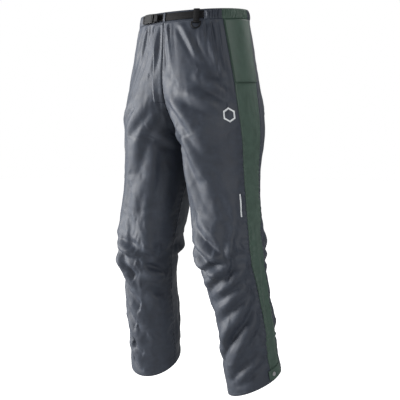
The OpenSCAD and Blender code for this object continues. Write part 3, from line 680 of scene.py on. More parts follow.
# %% Wrinkles
def wrinkles(side):
    """Small wrinkles in metres, outwards."""
    grid, angle = fine[side], fine_angles[side]
    row = np.broadcast_to(fine_rows[:, None], angle.shape)
    free = 1 - hold(row, angle)
    knee = np.exp(-(((row - 8.1) / 1.5) ** 2))
    crotch = np.exp(-(((row - 5) / 1.6) ** 2)) * np.clip(np.cos(np.radians(angle)), 0, 1)
    shin = np.exp(-(((row - 10.6) / 1.0) ** 2))
    amount = (0.45 + 1.1 * knee + 0.5 * crotch + 1.3 * shin) * (0.15 + 0.85 * free)
    out = np.zeros(angle.shape)
    for i in range(angle.shape[0]):
        for j in range(angle.shape[1]):
            x, y, z = grid[i, j]
            big = noise.noise(Vector((x * 15, y * 15, z * 13)))
            ridge = 1 - abs(noise.noise(Vector((x * 24 + 4, y * 24, z * 26 + big))))
            small = noise.noise(Vector((x * 60, y * 60 + 7, z * 60 + 2 * big)))
            out[i, j] = 0.0022 * big + 0.0026 * (ridge - 0.8) + 0.0004 * small
    out *= amount
    length = along_row(grid)
    for k, seam in enumerate(SEAMS):
        if k in (0, 3):
            away = np.abs(length - length[:, seam : seam + 1])
        else:
            away = length - length[:, seam : seam + 1]
        gap = np.abs(away)
        down = along_column(grid, seam)[:, None]
        ripple = np.sin(down / 0.0155 * 2 * np.pi + 2.2 * np.sin(down * 31) + seam)
        loose = 0.25 + 0.75 * smooth_step(4.2, 6.5, row)
        out += 0.0011 * ripple * np.exp(-((gap / 0.012) ** 2)) * loose * (0.2 + 0.8 * free)
        out += 0.0007 * np.exp(-(((gap - 0.0035) / 0.0028) ** 2)) - 0.0010 * np.exp(-((gap / 0.0016) ** 2))
    return out


fine_normals = normals(fine, fine_above)
for side in SIDES:
    fine[side] = fine[side] + fine_normals[side] * wrinkles(side)[..., None]
for end in (0, -1):
    shared = (fine[1][fine_above, end] + fine[-1][fine_above, end]) / 2
    shared[:, 0] = 0
    for side in SIDES:
        fine[side][fine_above, end] = shared
for side in SIDES:
    joint_line = (fine[side][~fine_above, 0] + fine[side][~fine_above, -1]) / 2
    fine[side][~fine_above, 0] = fine[side][~fine_above, -1] = joint_line
fine_normals = normals(fine, fine_above)
print("left side reaches", [round(float(v), 3) for v in (fine[1][..., 1].min(), fine[1][..., 1].max())], "m in Y")

# %% [markdown]
# ## Places on the finished cloth
#
# Tapes, strips and stitches lie on the creased cloth. One function finds a point on it from a row and an angle, and
# steps off it by a given distance.

# %% Points on the cloth
def laid(side, row, angle, off=0.0):
    """Points on the finished cloth, off metres outwards."""
    row, angle, off = np.broadcast_arrays(*(np.asarray(v, float) for v in (row, angle, off)))
    shape = row.shape
    row, angle, off = row.ravel(), angle.ravel(), off.ravel()
    i = np.interp(row, fine_rows, np.arange(len(fine_rows)))
    i0 = np.minimum(i.astype(int), len(fine_rows) - 2)
    fi = i - i0
    table = fine_angles[side]
    out = np.zeros((len(row), 3))
    for k in range(len(row)):
        here = table[i0[k]] * (1 - fi[k]) + table[i0[k] + 1] * fi[k]
        j = np.interp(angle[k], here, np.arange(len(here)))
        j0 = min(int(j), len(here) - 2)
        fj = j - j0
        weights = np.outer([1 - fi[k], fi[k]], [1 - fj, fj])[..., None]
        patch = fine[side][i0[k] : i0[k] + 2, j0 : j0 + 2]
        turn = fine_normals[side][i0[k] : i0[k] + 2, j0 : j0 + 2]
        out[k] = (patch * weights).sum((0, 1)) + (turn * weights).sum((0, 1)) * off[k]
    return out.reshape(shape + (3,))


print("left knee, front:", [round(float(v), 3) for v in laid(1, 8, 90)])


# %% [markdown]
# ## Sheets, trims and how each piece is handed over
#
# Every soft piece is a closed sheet, with an outer face, an inner face and cut edges. One function makes such a sheet
# from two grids of points. A second one gives it its finish, says which body carries it and hides the CAD piece it
# stands for.

# %% Sheets
def closed_sheet(name, outer, inner, flip=False, ring=False):
    """A sheet from two grids. UVs are metres along the outer face. ring joins the last column to the first."""
    r, c = outer.shape[:2]
    n = r * c
    faces, wrap = [], (c if ring else c - 1)

    def add(a, b, d, e):
        faces.append((a, e, d, b) if flip else (a, b, d, e))

    for i in range(r - 1):
        for j in range(wrap):
            k = (j + 1) % c
            add(i * c + j, (i + 1) * c + j, (i + 1) * c + k, i * c + k)
            add(n + i * c + j, n + i * c + k, n + (i + 1) * c + k, n + (i + 1) * c + j)
    for j in range(wrap):
        k = (j + 1) % c
        add(j, k, n + k, n + j)
        add((r - 1) * c + j, n + (r - 1) * c + j, n + (r - 1) * c + k, (r - 1) * c + k)
    if not ring:
        for i in range(r - 1):
            add(i * c, n + i * c, n + (i + 1) * c, (i + 1) * c)
            add(i * c + c - 1, (i + 1) * c + c - 1, n + (i + 1) * c + c - 1, n + i * c + c - 1)
    obj = mesh_object(name, np.concatenate([outer.reshape(-1, 3), inner.reshape(-1, 3)]), faces)
    u = along_row(outer)
    u = u - u[:, c // 2 : c // 2 + 1]
    v = np.broadcast_to(-along_column(outer, c // 2)[:, None], u.shape)
    flat = np.stack([np.concatenate([u.ravel()] * 2), np.concatenate([v.ravel()] * 2)], 1)
    corners = np.zeros(len(obj.data.loops), int)
    obj.data.loops.foreach_get("vertex_index", corners)
    layer = obj.data.uv_layers.new(name="cloth")
    layer.data.foreach_set("uv", flat[corners].ravel())
    obj.data.polygons.foreach_set("use_smooth", np.ones(len(faces), bool))
    obj.data.update()
    return obj


def hand_over(obj, body, material, slot, *nodes):
    """Finish, body and CAD piece of a visual piece."""
    obj.data.materials.clear()
    obj.data.materials.append(material)
    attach(obj, body)
    if nodes:
        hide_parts(*nodes)
    return obj


def state_flat(obj):
    """Returns the sheet as it is."""
    return obj


def sheet_piece(name, outer, inner, material, slot, body, nodes, how="laid", rests_on=(), flip=True, cut=None):
    """A finished sheet. Its flat size is measured on cut, or on its own outer face. cut
    is not used.
    """
    obj = closed_sheet(name, outer, inner, flip=flip)
    hand_over(obj, body, material, slot, *nodes)
    return state_flat(obj)


# %% [markdown]
# ## Panels
#
# Each leg has a front panel, a back panel and a green side panel between them. Above the side panel is the placket,
# whose back edge stops 2 mm short of the back panel. That gap is the slit for reaching a pocket underneath.

# %% Panels
CLOTH, SLIT_WIDTH = 0.0009, 0.002
GREY, GREEN = (grey_nylon, "coated_grey_fabric"), (green_nylon, "coated_green_fabric")
NAMES = {1: "left", -1: "right"}
FLAP_LINE = int(np.searchsorted(fine_rows, FLAP_ROW - 1e-6))
# The cloth before it creases gives each panel's cut.
smooth = {s: cloth_at(s, np.broadcast_to(fine_rows[:, None], fine_angles[s].shape), fine_angles[s]) for s in SIDES}


def panel(side, part, rows_from, rows_to, first, last, material, slot):
    """A piece cut out of the creased net between two seams."""
    outer = fine[side][rows_from:rows_to, first : last + 1].copy()
    turn = fine_normals[side][rows_from:rows_to, first : last + 1]
    plain = smooth[side][rows_from:rows_to, first : last + 1].copy()
    if part == "placket":
        for grid in (outer, plain):
            step = grid[:, -2] - grid[:, -1]
            grid[:, -1] += step / np.linalg.norm(step, axis=1, keepdims=True) * SLIT_WIDTH
    name = f"{NAMES[side]}_{part}"
    sheet_piece(f"cloth_{name}", outer, outer - turn * CLOTH, material, slot, "trousers", [name], "draped",
                flip=side < 0, cut=plain)


for side in SIDES:
    panel(side, "front_panel", 0, None, SEAMS[0], SEAMS[1], *GREY)
    panel(side, "back_panel", 0, None, SEAMS[2], SEAMS[3], *GREY)
    panel(side, "side_panel", FLAP_LINE, None, SEAMS[1], SEAMS[2], *GREEN)
    panel(side, "placket", 0, FLAP_LINE + 1, SEAMS[1], SEAMS[2], *GREEN)

# %% [markdown]
# ## Flaps with hook and loop
#
# A flap folds out of the front seam, arches over the placket and ends over the back seam, so rain runs off it. It
# opens like a page. The hook strip is sewn under it, and the loop strip lies on the placket below.

# %% Flaps
SLIT, FLAP_INSET, FLAP_LIFT, GAP = 2.0, 2.5, 4.0, 0.3


def degrees_per_mm(side, row, angle):
    step = np.linalg.norm(cloth_at(side, row, angle + 0.5) - cloth_at(side, row, angle - 0.5), axis=-1) * 1000
    return 1 / step


def flap_grid(side, down, across, drop):
    """The flap's inner face, or drop millimetres under it."""
    start = front_seam(down) + FLAP_INSET * degrees_per_mm(side, down, front_seam(down))
    stop = back_seam(down) + SLIT * degrees_per_mm(side, down, back_seam(down))
    turn = start[:, None] + (stop - start)[:, None] * across[None, :]
    off = 2 * GAP + (FLAP_LIFT - GAP) * np.sin(np.pi * across)[None, :] - drop
    return cloth_at(side, np.broadcast_to(down[:, None], turn.shape), turn, off)


for side in SIDES:
    name, body = NAMES[side], f"{NAMES[side]}_side_flap"
    down, across = np.linspace(1.04, 2.98, 64), np.linspace(0, 1, 33)
    puff = np.zeros((64, 33))
    for i in range(64):
        for j in range(33):
            puff[i, j] = 0.55 * noise.noise(Vector((i * 0.12, j * 0.16, side * 3.0)))
    puff *= np.sin(np.pi * across)[None, :] * np.sin(np.pi * np.linspace(0, 1, 64))[:, None] ** 0.4
    edge = 0.35 * np.exp(-(((across - 0.93) / 0.03) ** 2))[None, :]
    outer = flap_grid(side, down, across, -1.1 - puff - edge)
    inner = flap_grid(side, down, across, -0.1)
    sheet_piece(f"flap_{name}", outer, inner, *GREEN, body, [f"{name}_flap"], "draped", flip=side < 0)
    strip_down, strip_across = np.linspace(1.5, 2.5, 20), np.linspace(0.6, 0.8, 6)
    outer, inner = flap_grid(side, strip_down, strip_across, 0), flap_grid(side, strip_down, strip_across, 0.8)
    sheet_piece(f"hooks_{name}", outer, inner, hook_tape, "hook_and_loop", body, [f"{name}_hook_strip"],
                rests_on=(f"flap_{name}",), flip=side < 0)
    gap = back_seam(strip_down) - front_seam(strip_down)
    low, high = front_seam(strip_down) + gap * 0.61, front_seam(strip_down) + gap * 0.85
    turn = low[:, None] + (high - low)[:, None] * np.linspace(0, 1, 6)[None, :]
    outer, inner = (laid(side, strip_down[:, None], turn, off) for off in (0.0006, 0.0001))
    sheet_piece(f"loops_{name}", outer, inner, hook_tape, "hook_and_loop", "trousers", [f"{name}_loop_strip"],
                rests_on=(f"cloth_{name}_placket",), flip=side < 0)

# %% [markdown]
# ## Waistband
#
# The waistband is a flat tunnel with the belt and a soft elastic inside. At the front the outer cloth is left off, so
# the belt and its buckle show against the backing. Where the elastic gathers the tunnel, its cloth stands in small
# upright ruffles.

# %% Waistband
WAIST, BAND_IN, BAND_WALL = RINGS[1], -6.0, 0.8
DOWN_FRONT, UP_BACK = 9, 7  # points down the tunnel's front and up its back
FRONT_SEAM_AT, BACK_SEAM_AT = 61.0, 103.0
TUNNEL_LEFT, TUNNEL_RIGHT = 42.0, 33.0
BELT_OUT, BELT_IN, BACKING = -1.1, -2.6, -2.9


def waist_at(theta, share, off):
    """Points of the waistband in metres. Theta is 0 at the front, 90 at the wearer's left. Share runs down it."""
    theta, share, off = np.broadcast_arrays(*(np.asarray(v, float) for v in (theta, share, off)))
    ring = WAIST[0] + (WAIST[1] - WAIST[0]) * share[..., None]
    turn = np.radians(theta)
    y = -(ring[..., 4] + off) * np.cos(turn)
    return np.stack([(ring[..., 1] + off) * np.sin(turn), y, ring[..., 0] + ring[..., 5] * y], -1) / 1000


def ruffle(theta, share, amount):
    """Upright gathers with a pitch of about 8 mm, strongest between the seams of the band."""
    wave = np.sin(theta / 3.6 * 2 * np.pi + 1.6 * np.sin(theta * 0.37) + 0.9 * np.sin(share * 4 + theta * 0.2))
    return amount * (0.65 + wave) * np.sin(np.pi * np.clip(share, 0, 1)) ** 0.7


def tunnel(name, start, stop, amount, material, slot):
    """A length of the tunnel: a ring of cloth round the belt, open at both ends."""
    theta = np.linspace(start, stop, max(9, int(abs(stop - start) / 0.55)))
    share = np.concatenate([np.linspace(0, 1, DOWN_FRONT), np.linspace(1, 0, UP_BACK)])
    keep = BAND_WALL / BAND
    fade = smooth_step(start, start + 2, theta) * (1 - smooth_step(stop - 2, stop, theta))
    out_grid, in_grid = np.zeros((2, len(theta), len(share), 3))
    for k, f in enumerate(share):
        front = k < DOWN_FRONT
        gather = ruffle(theta, f, amount) * fade if front else 0
        out_grid[:, k] = waist_at(theta, f, (0 if front else BAND_IN) + gather)
        in_grid[:, k] = waist_at(theta, keep + (1 - 2 * keep) * f, (0 if front else BAND_IN) + gather
                                 + (-BAND_WALL if front else BAND_WALL))
    obj = closed_sheet(f"band_{name}", out_grid, in_grid, flip=True, ring=True)
    hand_over(obj, "trousers", material, slot, f"waistband_{name}")


tunnel("front_left", TUNNEL_LEFT, FRONT_SEAM_AT, 2.3, *GREY)
tunnel("front_right", -FRONT_SEAM_AT, -TUNNEL_RIGHT, 0.9, *GREY)
tunnel("left_side", FRONT_SEAM_AT, BACK_SEAM_AT, 1.7, *GREEN)
tunnel("right_side", -BACK_SEAM_AT, -FRONT_SEAM_AT, 1.7, *GREEN)
tunnel("back", BACK_SEAM_AT, 360 - BACK_SEAM_AT, 2.0, *GREY)

theta = np.linspace(-TUNNEL_RIGHT, TUNNEL_LEFT, 120)[:, None]
share = np.array([0, 0.3, 0.6, 0.93, 0.945, 0.955, 0.965, 1.0])
depth = np.array([BACKING, BACKING, BACKING, BACKING, BACKING * 0.5, -0.3, 0.0, 0.0])
sheet_piece("band_front", waist_at(theta, share, depth), waist_at(theta, share, BAND_IN), *GREY, "trousers",
            ["waistband_front"], "stretched")

# %% [markdown]
# ## Belt
#
# The belt is 20 mm webbing. It comes out of the tunnel on the wearer's left, passes through the narrow centre loop
# and is folded round the clip's bar. From the other side it is folded round the housing's bar. The elastic behind it
# pulls the back of the waist in.

# %% Belt, clip end, elastic
BUCKLE_AT, CLIP_BAR, BUCKLE_OFF, BAND_FLARE = 16.5, 18.0, 4.8, 4
BELT_MIDDLE = (BELT_OUT + BELT_IN) / 2
BELT_END = 46  # where the belt meets the housing's fold, in millimetres from the buckle's middle
WEBBING = (black_webbing, "black_webbing")


def at_waist_frame(theta, off):
    """A frame on the waistband: its middle in millimetres, X along the belt, Y inwards and Z up."""
    ring = WAIST[0] + (WAIST[1] - WAIST[0]) * 0.5
    turn = np.radians(theta)
    heading = math.atan2(ring[4] * math.sin(turn), ring[1] * math.cos(turn))
    lean = -math.atan2(BAND_FLARE, BAND)
    axes = np.array(Matrix.Rotation(heading, 3, "Z") @ Matrix.Rotation(lean, 3, "X"))
    return waist_at(theta, 0.5, off) * 1000, axes


def strap(name, middle, normal, up, half_width, thick, material, slot, body, nodes, how="laid", flip=False):
    """A flat strap along a line of middles, in millimetres, with its outward normal and its width direction."""
    rounding = [[-1.0, 0.18], [-0.93, 0.5], [0.93, 0.5], [1.0, 0.18]]
    outer, inner = (np.stack([(middle + up * half_width * w + normal * thick * t * face) / 1000
                              for w, t in rounding], 1) for face in (1, -1))
    obj = closed_sheet(name, outer, inner, flip=flip)
    turned = obj.data.uv_layers["cloth"].data
    flat = np.zeros(len(turned) * 2)
    turned.foreach_get("uv", flat)
    turned.foreach_set("uv", flat.reshape(-1, 2)[:, ::-1].ravel())
    hand_over(obj, body, material, slot, *nodes)
    return obj


def unit(vectors):
    return vectors / np.linalg.norm(vectors, axis=1, keepdims=True)


def belt_angle(along):
    """Theta at a distance along the belt from the buckle's middle, in millimetres."""
    return float(-BUCKLE_AT - np.degrees(along / WAIST[0, 1]))


def belt_line(start, stop, off, share=0.5):
    theta = np.linspace(start, stop, int((stop - start) / 1.5))
    middle = waist_at(theta, share, off) * 1000
    outwards = waist_at(theta, share, off + 1) * 1000 - middle
    up = (waist_at(theta, 0.36, off) - waist_at(theta, 0.64, off)) * 1000
    return middle, unit(outwards), unit(up)


middle, outwards, up = belt_line(belt_angle(-CLIP_BAR), 360 + belt_angle(BELT_END) + 4, BELT_MIDDLE)
strap("belt_strap", middle, outwards, up, 10.0, 1.4, *WEBBING, "trousers", ["belt_webbing"])


def buckle_strap(name, path, half_width, body, nodes, toward_left):
    """Webbing folded round a bar. The path is (along, inwards) in the buckle's own frame, in millimetres."""
    origin, axes = at_waist_frame(-BUCKLE_AT, BUCKLE_OFF)
    sign = 1.0 if toward_left else -1.0
    middle = np.array([origin + axes @ np.array([sign * x, y, 0]) for x, y in path])
    up = np.broadcast_to(axes @ np.array([0, 0, 1.0]), middle.shape)
    normal = unit(np.cross(np.gradient(middle, axis=0), up) * sign)
    strap(name, middle, -normal, up, half_width, 1.25, *WEBBING, body, nodes, "folded", flip=not toward_left)


fold = [(1.5, -2.1), (0.5, -1.5), (0.1, -0.6), (0.1, 0.6), (0.5, 1.5), (1.5, 2.1)]
clip_path = [(34, -2.15), (30, -2.15), (25, -2.15), (20.5, -2.15)] + [(16.95 + x, y) for x, y in fold]
clip_path += [(20.5, 2.15), (24, 2.15), (28, 2.15)]
buckle_strap("belt_clip_strap", clip_path, 9.9, "belt_clip", ["belt_clip_end"], True)

origin, axes = at_waist_frame(-BUCKLE_AT, BUCKLE_OFF)
tip = axes.T @ (waist_at(belt_angle(BELT_END), 0.5, BELT_MIDDLE) * 1000 - origin)
tip_along, tip_in = -float(tip[0]), float(tip[1])
wrap_path = [(tip_along, tip_in - 0.4), (39, tip_in * 0.5 - 1.3), (33, -2.15), (29.5, -2.15)]
wrap_path += [(25.95 + x, y) for x, y in fold] + [(29.5, 2.15), (37, tip_in * 0.5 + 1.4), (tip_along, tip_in + 0.4)]
buckle_strap("belt_wrap", wrap_path, 9.5, "trousers", ["belt_webbing"], False)

middle, outwards, up = belt_line(TUNNEL_LEFT + 1, 359 - TUNNEL_RIGHT, -3.5)
pulled = 0.35 * np.sin(np.arange(len(middle)) * 1.9)[:, None]
strap("elastic_strap", middle + outwards * pulled, outwards, up, 11.0, 1.0, elastic_knit, "knitted_elastic",
      "trousers", ["waist_elastic"], "stretched")
print("belt and elastic done")

# %% [markdown]
# ## Small loops and the label
#
# The centre loop stands over the belt and is sewn down above and below it. The hanging loop and the blank care label
# are sewn inside the back of the waistband.

# %% Centre loop, hanging loop, label
theta = np.linspace(-1.22, 1.22, 6)[:, None]
share = np.array([0, 0.03, 0.06, 0.10, 0.13, 0.2, 0.5, 0.8, 0.86, 0.9, 0.93])
stand = np.array([-1.6, -1.6, -1.4, -0.9, 0.1, 0.45, 0.5, 0.45, 0.1, -0.9, -1.5])
inner = waist_at(theta, share, np.maximum(stand - 1.1, BACKING + 0.05))
sheet_piece("centre_loop", waist_at(theta, share, stand), inner, *GREY, "trousers", ["centre_belt_loop"], "folded")

theta, share = np.linspace(170, 190, 26)[:, None], np.array([0.12, 0.28])
sag = 0.9 * np.cos(np.radians((theta - 180) / 10 * 90))
sheet_piece("coat_loop", waist_at(theta, share, -6.4), waist_at(theta, share, -7.4 - sag), *WEBBING, "trousers",
            ["hanging_loop"], "folded")
theta, share = np.linspace(192, 204, 16)[:, None], np.linspace(0.3, 0.96, 12)
sheet_piece("plain_label", waist_at(theta, share, -6.2), waist_at(theta, share, -6.6), label_satin, "white_label",
            "trousers", ["care_label"], "hung", ("band_back",))
print("loops and label done")

# %% [markdown]
# ## D-ring hanger
#
# A short webbing tab is sewn over the top edge of the waistband, hangs down in front of the belt, and is folded round
# the straight bar of the D-ring. The ring swings on it.

# %% Hanger
origin, axes = at_waist_frame(34.5, 0)
ring_bar = np.array([-4.4, -21.0])
radius = 1.8 + 0.3 + 0.55  # the bar, the play and half the webbing
turn = np.radians(np.linspace(60, 390, 16))
round_ring = [(ring_bar[0] + radius * math.cos(a), ring_bar[1] + radius * math.sin(a)) for a in turn[::-1]]
path = [(3.4, 15.6), (1.4, 16.1), (-0.6, 15.9), (-0.95, 14.6), (-0.95, 6), (-0.95, -6), (-1.2, -13.4), (-3.0, -18.0)]
path += round_ring[1:]
middle = np.array([origin + axes @ np.array([0, y, z]) for y, z in path])
across = np.broadcast_to(axes @ np.array([1.0, 0, 0]), middle.shape)
normal = unit(np.cross(across, np.gradient(middle, axis=0)))
strap("ring_hanger", middle, -normal, across, 8.0, 1.0, *WEBBING, "trousers", ["d_ring_hanger"], "folded")
print("hanger:", len(path), "stations")

# %% [markdown]
# ## What lies on and inside the cloth
#
# The turned hems, the seam tapes and the facing beside the front seam follow the creased cloth at a fixed distance.
# Tape is welded over every seam on the inside, because needle holes leak.

# %% Hems, facing, tapes
for side in SIDES:
    name = NAMES[side]
    down, turn = np.linspace(11.76, 11.985, 6)[:, None], np.linspace(0.5, 359.5, 150)
    outer, inner = (laid(side, down, turn, off) for off in (-0.0012, -0.0021))
    sheet_piece(f"hem_{name}", outer, inner, *GREY, "trousers", [f"{name}_hem_band"],
                "folded", (f"cloth_{name}_front_panel", f"cloth_{name}_back_panel"), flip=side < 0)


def tape_piece(name, side, start, stop, centre, node, low=11.0, high=11.0):
    """A tape along a seam. centre gives the seam's angle at a row, low and high its reach in millimetres."""
    span = np.linspace(start, stop, 120)
    table = np.stack([centre(r) + np.linspace(-low, high, 7) * degrees_per_mm(side, r, centre(r)) for r in span])
    outer, inner = (laid(side, span[:, None], table, off) for off in (-0.0013, -0.0016))
    sheet_piece(name, outer, inner, seam_tape, "seam_tape", "trousers", [node], flip=side < 0)


for side in SIDES:
    name = NAMES[side]
    tape_piece(f"tape_{name}_front", side, 3.05, 11.5, lambda r: float(front_seam(r)), f"{name}_side_seam_tapes")
    tape_piece(f"tape_{name}_back", side, 3.05, 11.5, lambda r: float(back_seam(r)), f"{name}_side_seam_tapes")
    tape_piece(f"tape_{name}_in", side, 5.5, 11.5, lambda r: 0.0, f"{name}_inseam_tape", low=0.0)
    tape_piece(f"tape_{name}_in_back", side, 5.5, 11.5, lambda r: 360.0, f"{name}_inseam_tape", high=0.0)
    edge = lambda r, s=side: float(centre_angle(s, r)[0])
    tape_piece(f"tape_{name}_crotch", side, 1.0, 4.0, edge, "crotch_seam_tape", low=0.0)
    tape_piece(f"tape_{name}_seat", side, 1.0, 4.0, lambda r, e=edge: 360 - e(r), "crotch_seam_tape", high=0.0)

span = np.linspace(1.06, 3.6, 60)
start = centre_angle(-1, span)
mm = degrees_per_mm(-1, span, start + 1)
f = np.linspace(0, 1, 9)
table = start[:, None] + f * (30 * mm)[:, None]
edge_lift = 0.0010 + 0.0003 * np.exp(-(((f - 0.9) / 0.1) ** 2))
outer, inner = (laid(-1, span[:, None], table, off) for off in (edge_lift, 0.0003))
sheet_piece("facing", outer, inner, *GREY, "trousers", ["fly_facing"], rests_on=("cloth_right_front_panel",))
print("hems, tapes and facing done")

# %% [markdown]
# ## Hem tabs
#
# A green tab crosses the side panel just above the hem. Its back end is sewn down, and its front end carries a press
# stud, so the hem can be drawn in round a boot. It swings about the sewn end.

# %% Hem tabs
TAB_TOP, TAB_HEIGHT = 11.38, 20.0
for side in SIDES:
    name = NAMES[side]
    low = cloth_at(side, 11.5, 180)
    row_height = float(np.linalg.norm(low - cloth_at(side, 12, 180))) * 2000
    span = np.linspace(TAB_TOP, TAB_TOP + TAB_HEIGHT / row_height, 12)
    f = np.linspace(0, 1, 30)
    off = 0.3 + (2.4 - 0.3) * np.minimum(1, (1 - f) * 2.2)
    turn = 180 - 20 + 42 * f
    outer, inner = (cloth_at(side, span[:, None], turn, off + lift) for lift in (1.15, 0.05))
    sheet_piece(f"tab_{name}", outer, inner, *GREEN, f"{name}_tab", [f"{name}_hem_tab"], "folded", flip=side < 0)
print("hem tabs done")

# %% [markdown]
# ## Transfers
#
# A plain hexagon and a short bar in reflective silver are heat-pressed on the left leg. They are thin films that bend
# with the cloth, so they are cut out of small grids laid on it.

# %% Emblem and bar
def transfer(name, side, row, angle, outline, hole, node):
    """A flat film. Outline and hole are rings of (down, round) in millimetres about the middle."""
    tenth = np.linalg.norm(cloth_at(side, row + 0.05, angle) - cloth_at(side, row - 0.05, angle))
    row_mm, turn_mm = 1 / (tenth * 10000), float(degrees_per_mm(side, row, angle))
    outer_ring, inner_ring = np.array(outline), np.array(hole)
    steps = np.linspace(0, 1, 5)[None, :, None]
    grid = outer_ring[:, None] * (1 - steps) + inner_ring[:, None] * steps
    down, turn = row + grid[..., 0] * row_mm, angle + grid[..., 1] * turn_mm
    outer, inner = laid(side, down, turn, 0.0008), laid(side, down, turn, 0.0002)
    hand_over(closed_sheet(name, outer, inner, flip=True), "trousers", silver_transfer, "reflective_print", node)


hexagon = [(math.cos(math.radians(a)), math.sin(math.radians(a))) for a in range(0, 361, 60)]
ring = [np.array(hexagon[k]) * (1 - s) + np.array(hexagon[k + 1]) * s
        for k in range(6) for s in np.linspace(0, 0.9, 8)]
ring.append(ring[0])
transfer("hexagon_transfer", 1, 4.15, 148, [20 * p for p in ring], [15 * p for p in ring], "thigh_emblem")
line = np.linspace(-30, 30, 30)
transfer("bar_transfer", 1, 6.9, 154, [(x, -2.0) for x in line], [(x, 2.0) for x in line], "thigh_bar")
print("transfers done")

# %% [markdown]
# ## Hard parts
#
# The buckle, the D-ring and the press studs keep the CAD's own shape, which is exact to a tenth of a millimetre. They
# only get a finish.

# %% Hard parts
HARD = dict.fromkeys(("buckle_housing", "buckle_clip", "buckle_clip_arms", "d_ring"), black_acetal)
HARD.update(dict.fromkeys(("left_snap_cap", "right_snap_cap", "left_snap_stud", "right_snap_stud"), nickel))
for node, finish in HARD.items():
    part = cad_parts[node]
    part.data.materials.clear()
    part.data.materials.append(finish)
print("hard parts:", sorted(HARD))

# %% [markdown]
# ## Stitches
#
# A lockstitch shows as short, slightly sunk dashes about 3 mm apart. Each dash is a small tapered prism laid on the
# cloth along its seam. All dashes of one colour on one body are one mesh.

# %% Stitches
PITCH, DASH, THICK = 0.0034, 0.0024, 0.00034
DASH_FACES = [
    (0, 1, 2), (0, 2, 3), (0, 3, 1), (1, 4, 5, 2), (2, 5, 6, 3), (3, 6, 4, 1), (7, 5, 4), (7, 6, 5), (7, 4, 6),
]


def dashes(line, outwards):
    """Points and faces of the stitches along a line of surface points with their normals, all in metres."""
    length = along_column(line[:, None], 0)
    starts = np.arange(PITCH / 2, length[-1] - DASH, PITCH)
    at = lambda where, what: np.stack([np.interp(where, length, what[:, k]) for k in range(3)], 1)
    a, b = at(starts, line), at(starts + DASH, line)
    n = unit(at(starts + DASH / 2, outwards))
    forward = b - a
    forward /= np.maximum(np.linalg.norm(forward, axis=1, keepdims=True), 1e-9)
    side = np.cross(n, forward)
    points, faces = [], []
    for k in range(len(starts)):
        base = len(points)
        lift, wide = n[k] * THICK, side[k] * THICK
        points.append(a[k])
        for f in (0.25, 0.75):
            core = a[k] + (b[k] - a[k]) * f
            points += [core + wide + lift * 0.3, core + lift * 1.2, core - wide + lift * 0.3]
        points.append(b[k])
        faces += [tuple(base + v for v in face) for face in DASH_FACES]
    return points, faces


def stitch_mesh(name, lines, material, slot, body):
    points, faces = [], []
    for line, outwards in lines:
        more, their = dashes(line, outwards)
        faces += [tuple(len(points) + v for v in f) for f in their]
        points += more
    obj = mesh_object(name, points, faces)
    hand_over(obj, body, material, slot)


print("stitches are", round(DASH * 1000, 1), "mm long,", round(PITCH * 1000, 1), "mm apart")


def on_cloth(side, row, turn, lift=0.0001):
    """Points on the cloth and which way is out."""
    line = laid(side, row, turn, lift)
    return line, laid(side, row, turn, lift + 0.001) - line


def seam_line(side, start, stop, place, offset_mm):
    """A stitch line on the cloth beside a seam. place gives the seam's angle at a row."""
    span = np.linspace(start, stop, max(8, int(abs(stop - start) * 22)))
    base = np.array([float(place(r)) for r in span])
    return on_cloth(side, span, base + offset_mm * degrees_per_mm(side, span, base))


def ring_line(side, row, start, stop):
    """A stitch line round the leg between two angles."""
    return on_cloth(side, row, np.linspace(start, stop, 120))


def band_line(share, first, last, count):
    """A stitch line round the waistband, share of the way down it."""
    theta = np.linspace(first, last, count)
    line = waist_at(theta, share, 0.35)
    return line, waist_at(theta, share, 1.35) - line


# %% [markdown]
# ## Where the stitches run
#
# Two rows hold the side seams and the front and back middle, one row the inseam and the hem, and two rows the top of
# the green panel. The waistband is stitched near its top and its bottom.

# %% Stitch lines
HEM_STITCH, TOP_STITCH = 11.84, 1.03
grey_lines, green_lines = [], []
for side in SIDES:
    middle_front = lambda r, s=side: float(centre_angle(s, r)[0])
    middle_back = lambda r, s=side: 360 - float(centre_angle(s, r)[0])
    hem_front, hem_back = float(front_seam(HEM_ROW)), float(back_seam(HEM_ROW))
    top_middle = middle_front(TOP_STITCH)
    grey_lines += [
        seam_line(side, 1.02, 11.98, front_seam, -2.5), seam_line(side, 1.02, 11.98, back_seam, 2.5),
        seam_line(side, 1.02, 4.9, middle_front, 3), seam_line(side, 1.02, 4.9, middle_back, 3),
        seam_line(side, 5.1, 11.9, lambda r: 0.0, 3),
        ring_line(side, HEM_STITCH, 1, hem_front - 1), ring_line(side, HEM_STITCH, hem_back + 1, 359),
        ring_line(side, TOP_STITCH, top_middle + 1, float(front_seam(TOP_STITCH)) - 1),
        ring_line(side, TOP_STITCH, float(back_seam(TOP_STITCH)) + 1, 359 - top_middle),
    ]
    green_lines += [
        seam_line(side, 3.1, 11.98, front_seam, 2.0), seam_line(side, 3.1, 11.98, back_seam, -2.0),
        ring_line(side, HEM_STITCH, hem_front + 1, hem_back - 1),
    ] + [ring_line(side, r, float(front_seam(FLAP_ROW)) + 1, float(back_seam(FLAP_ROW)) - 1) for r in (3.02, 3.06)]
    flap_down, edge_lines = np.linspace(1.06, 2.95, 60), []
    for f in (0.90, 0.955, 0.03):
        line = flap_grid(side, flap_down, np.array([f]), -1.42 if f > 0.5 else -1.2)[:, 0]
        out = flap_grid(side, flap_down, np.array([f]), -2.4)[:, 0] - line
        edge_lines.append((line, out))
    stitch_mesh(f"thread_{NAMES[side]}_flap", edge_lines, green_thread, GREEN[1], f"{NAMES[side]}_side_flap")
span = np.linspace(1.1, 3.55, 60)
base = centre_angle(-1, span) + 27 * degrees_per_mm(-1, span, centre_angle(-1, span) + 1)
grey_lines.append(on_cloth(-1, span, base, 0.0013))
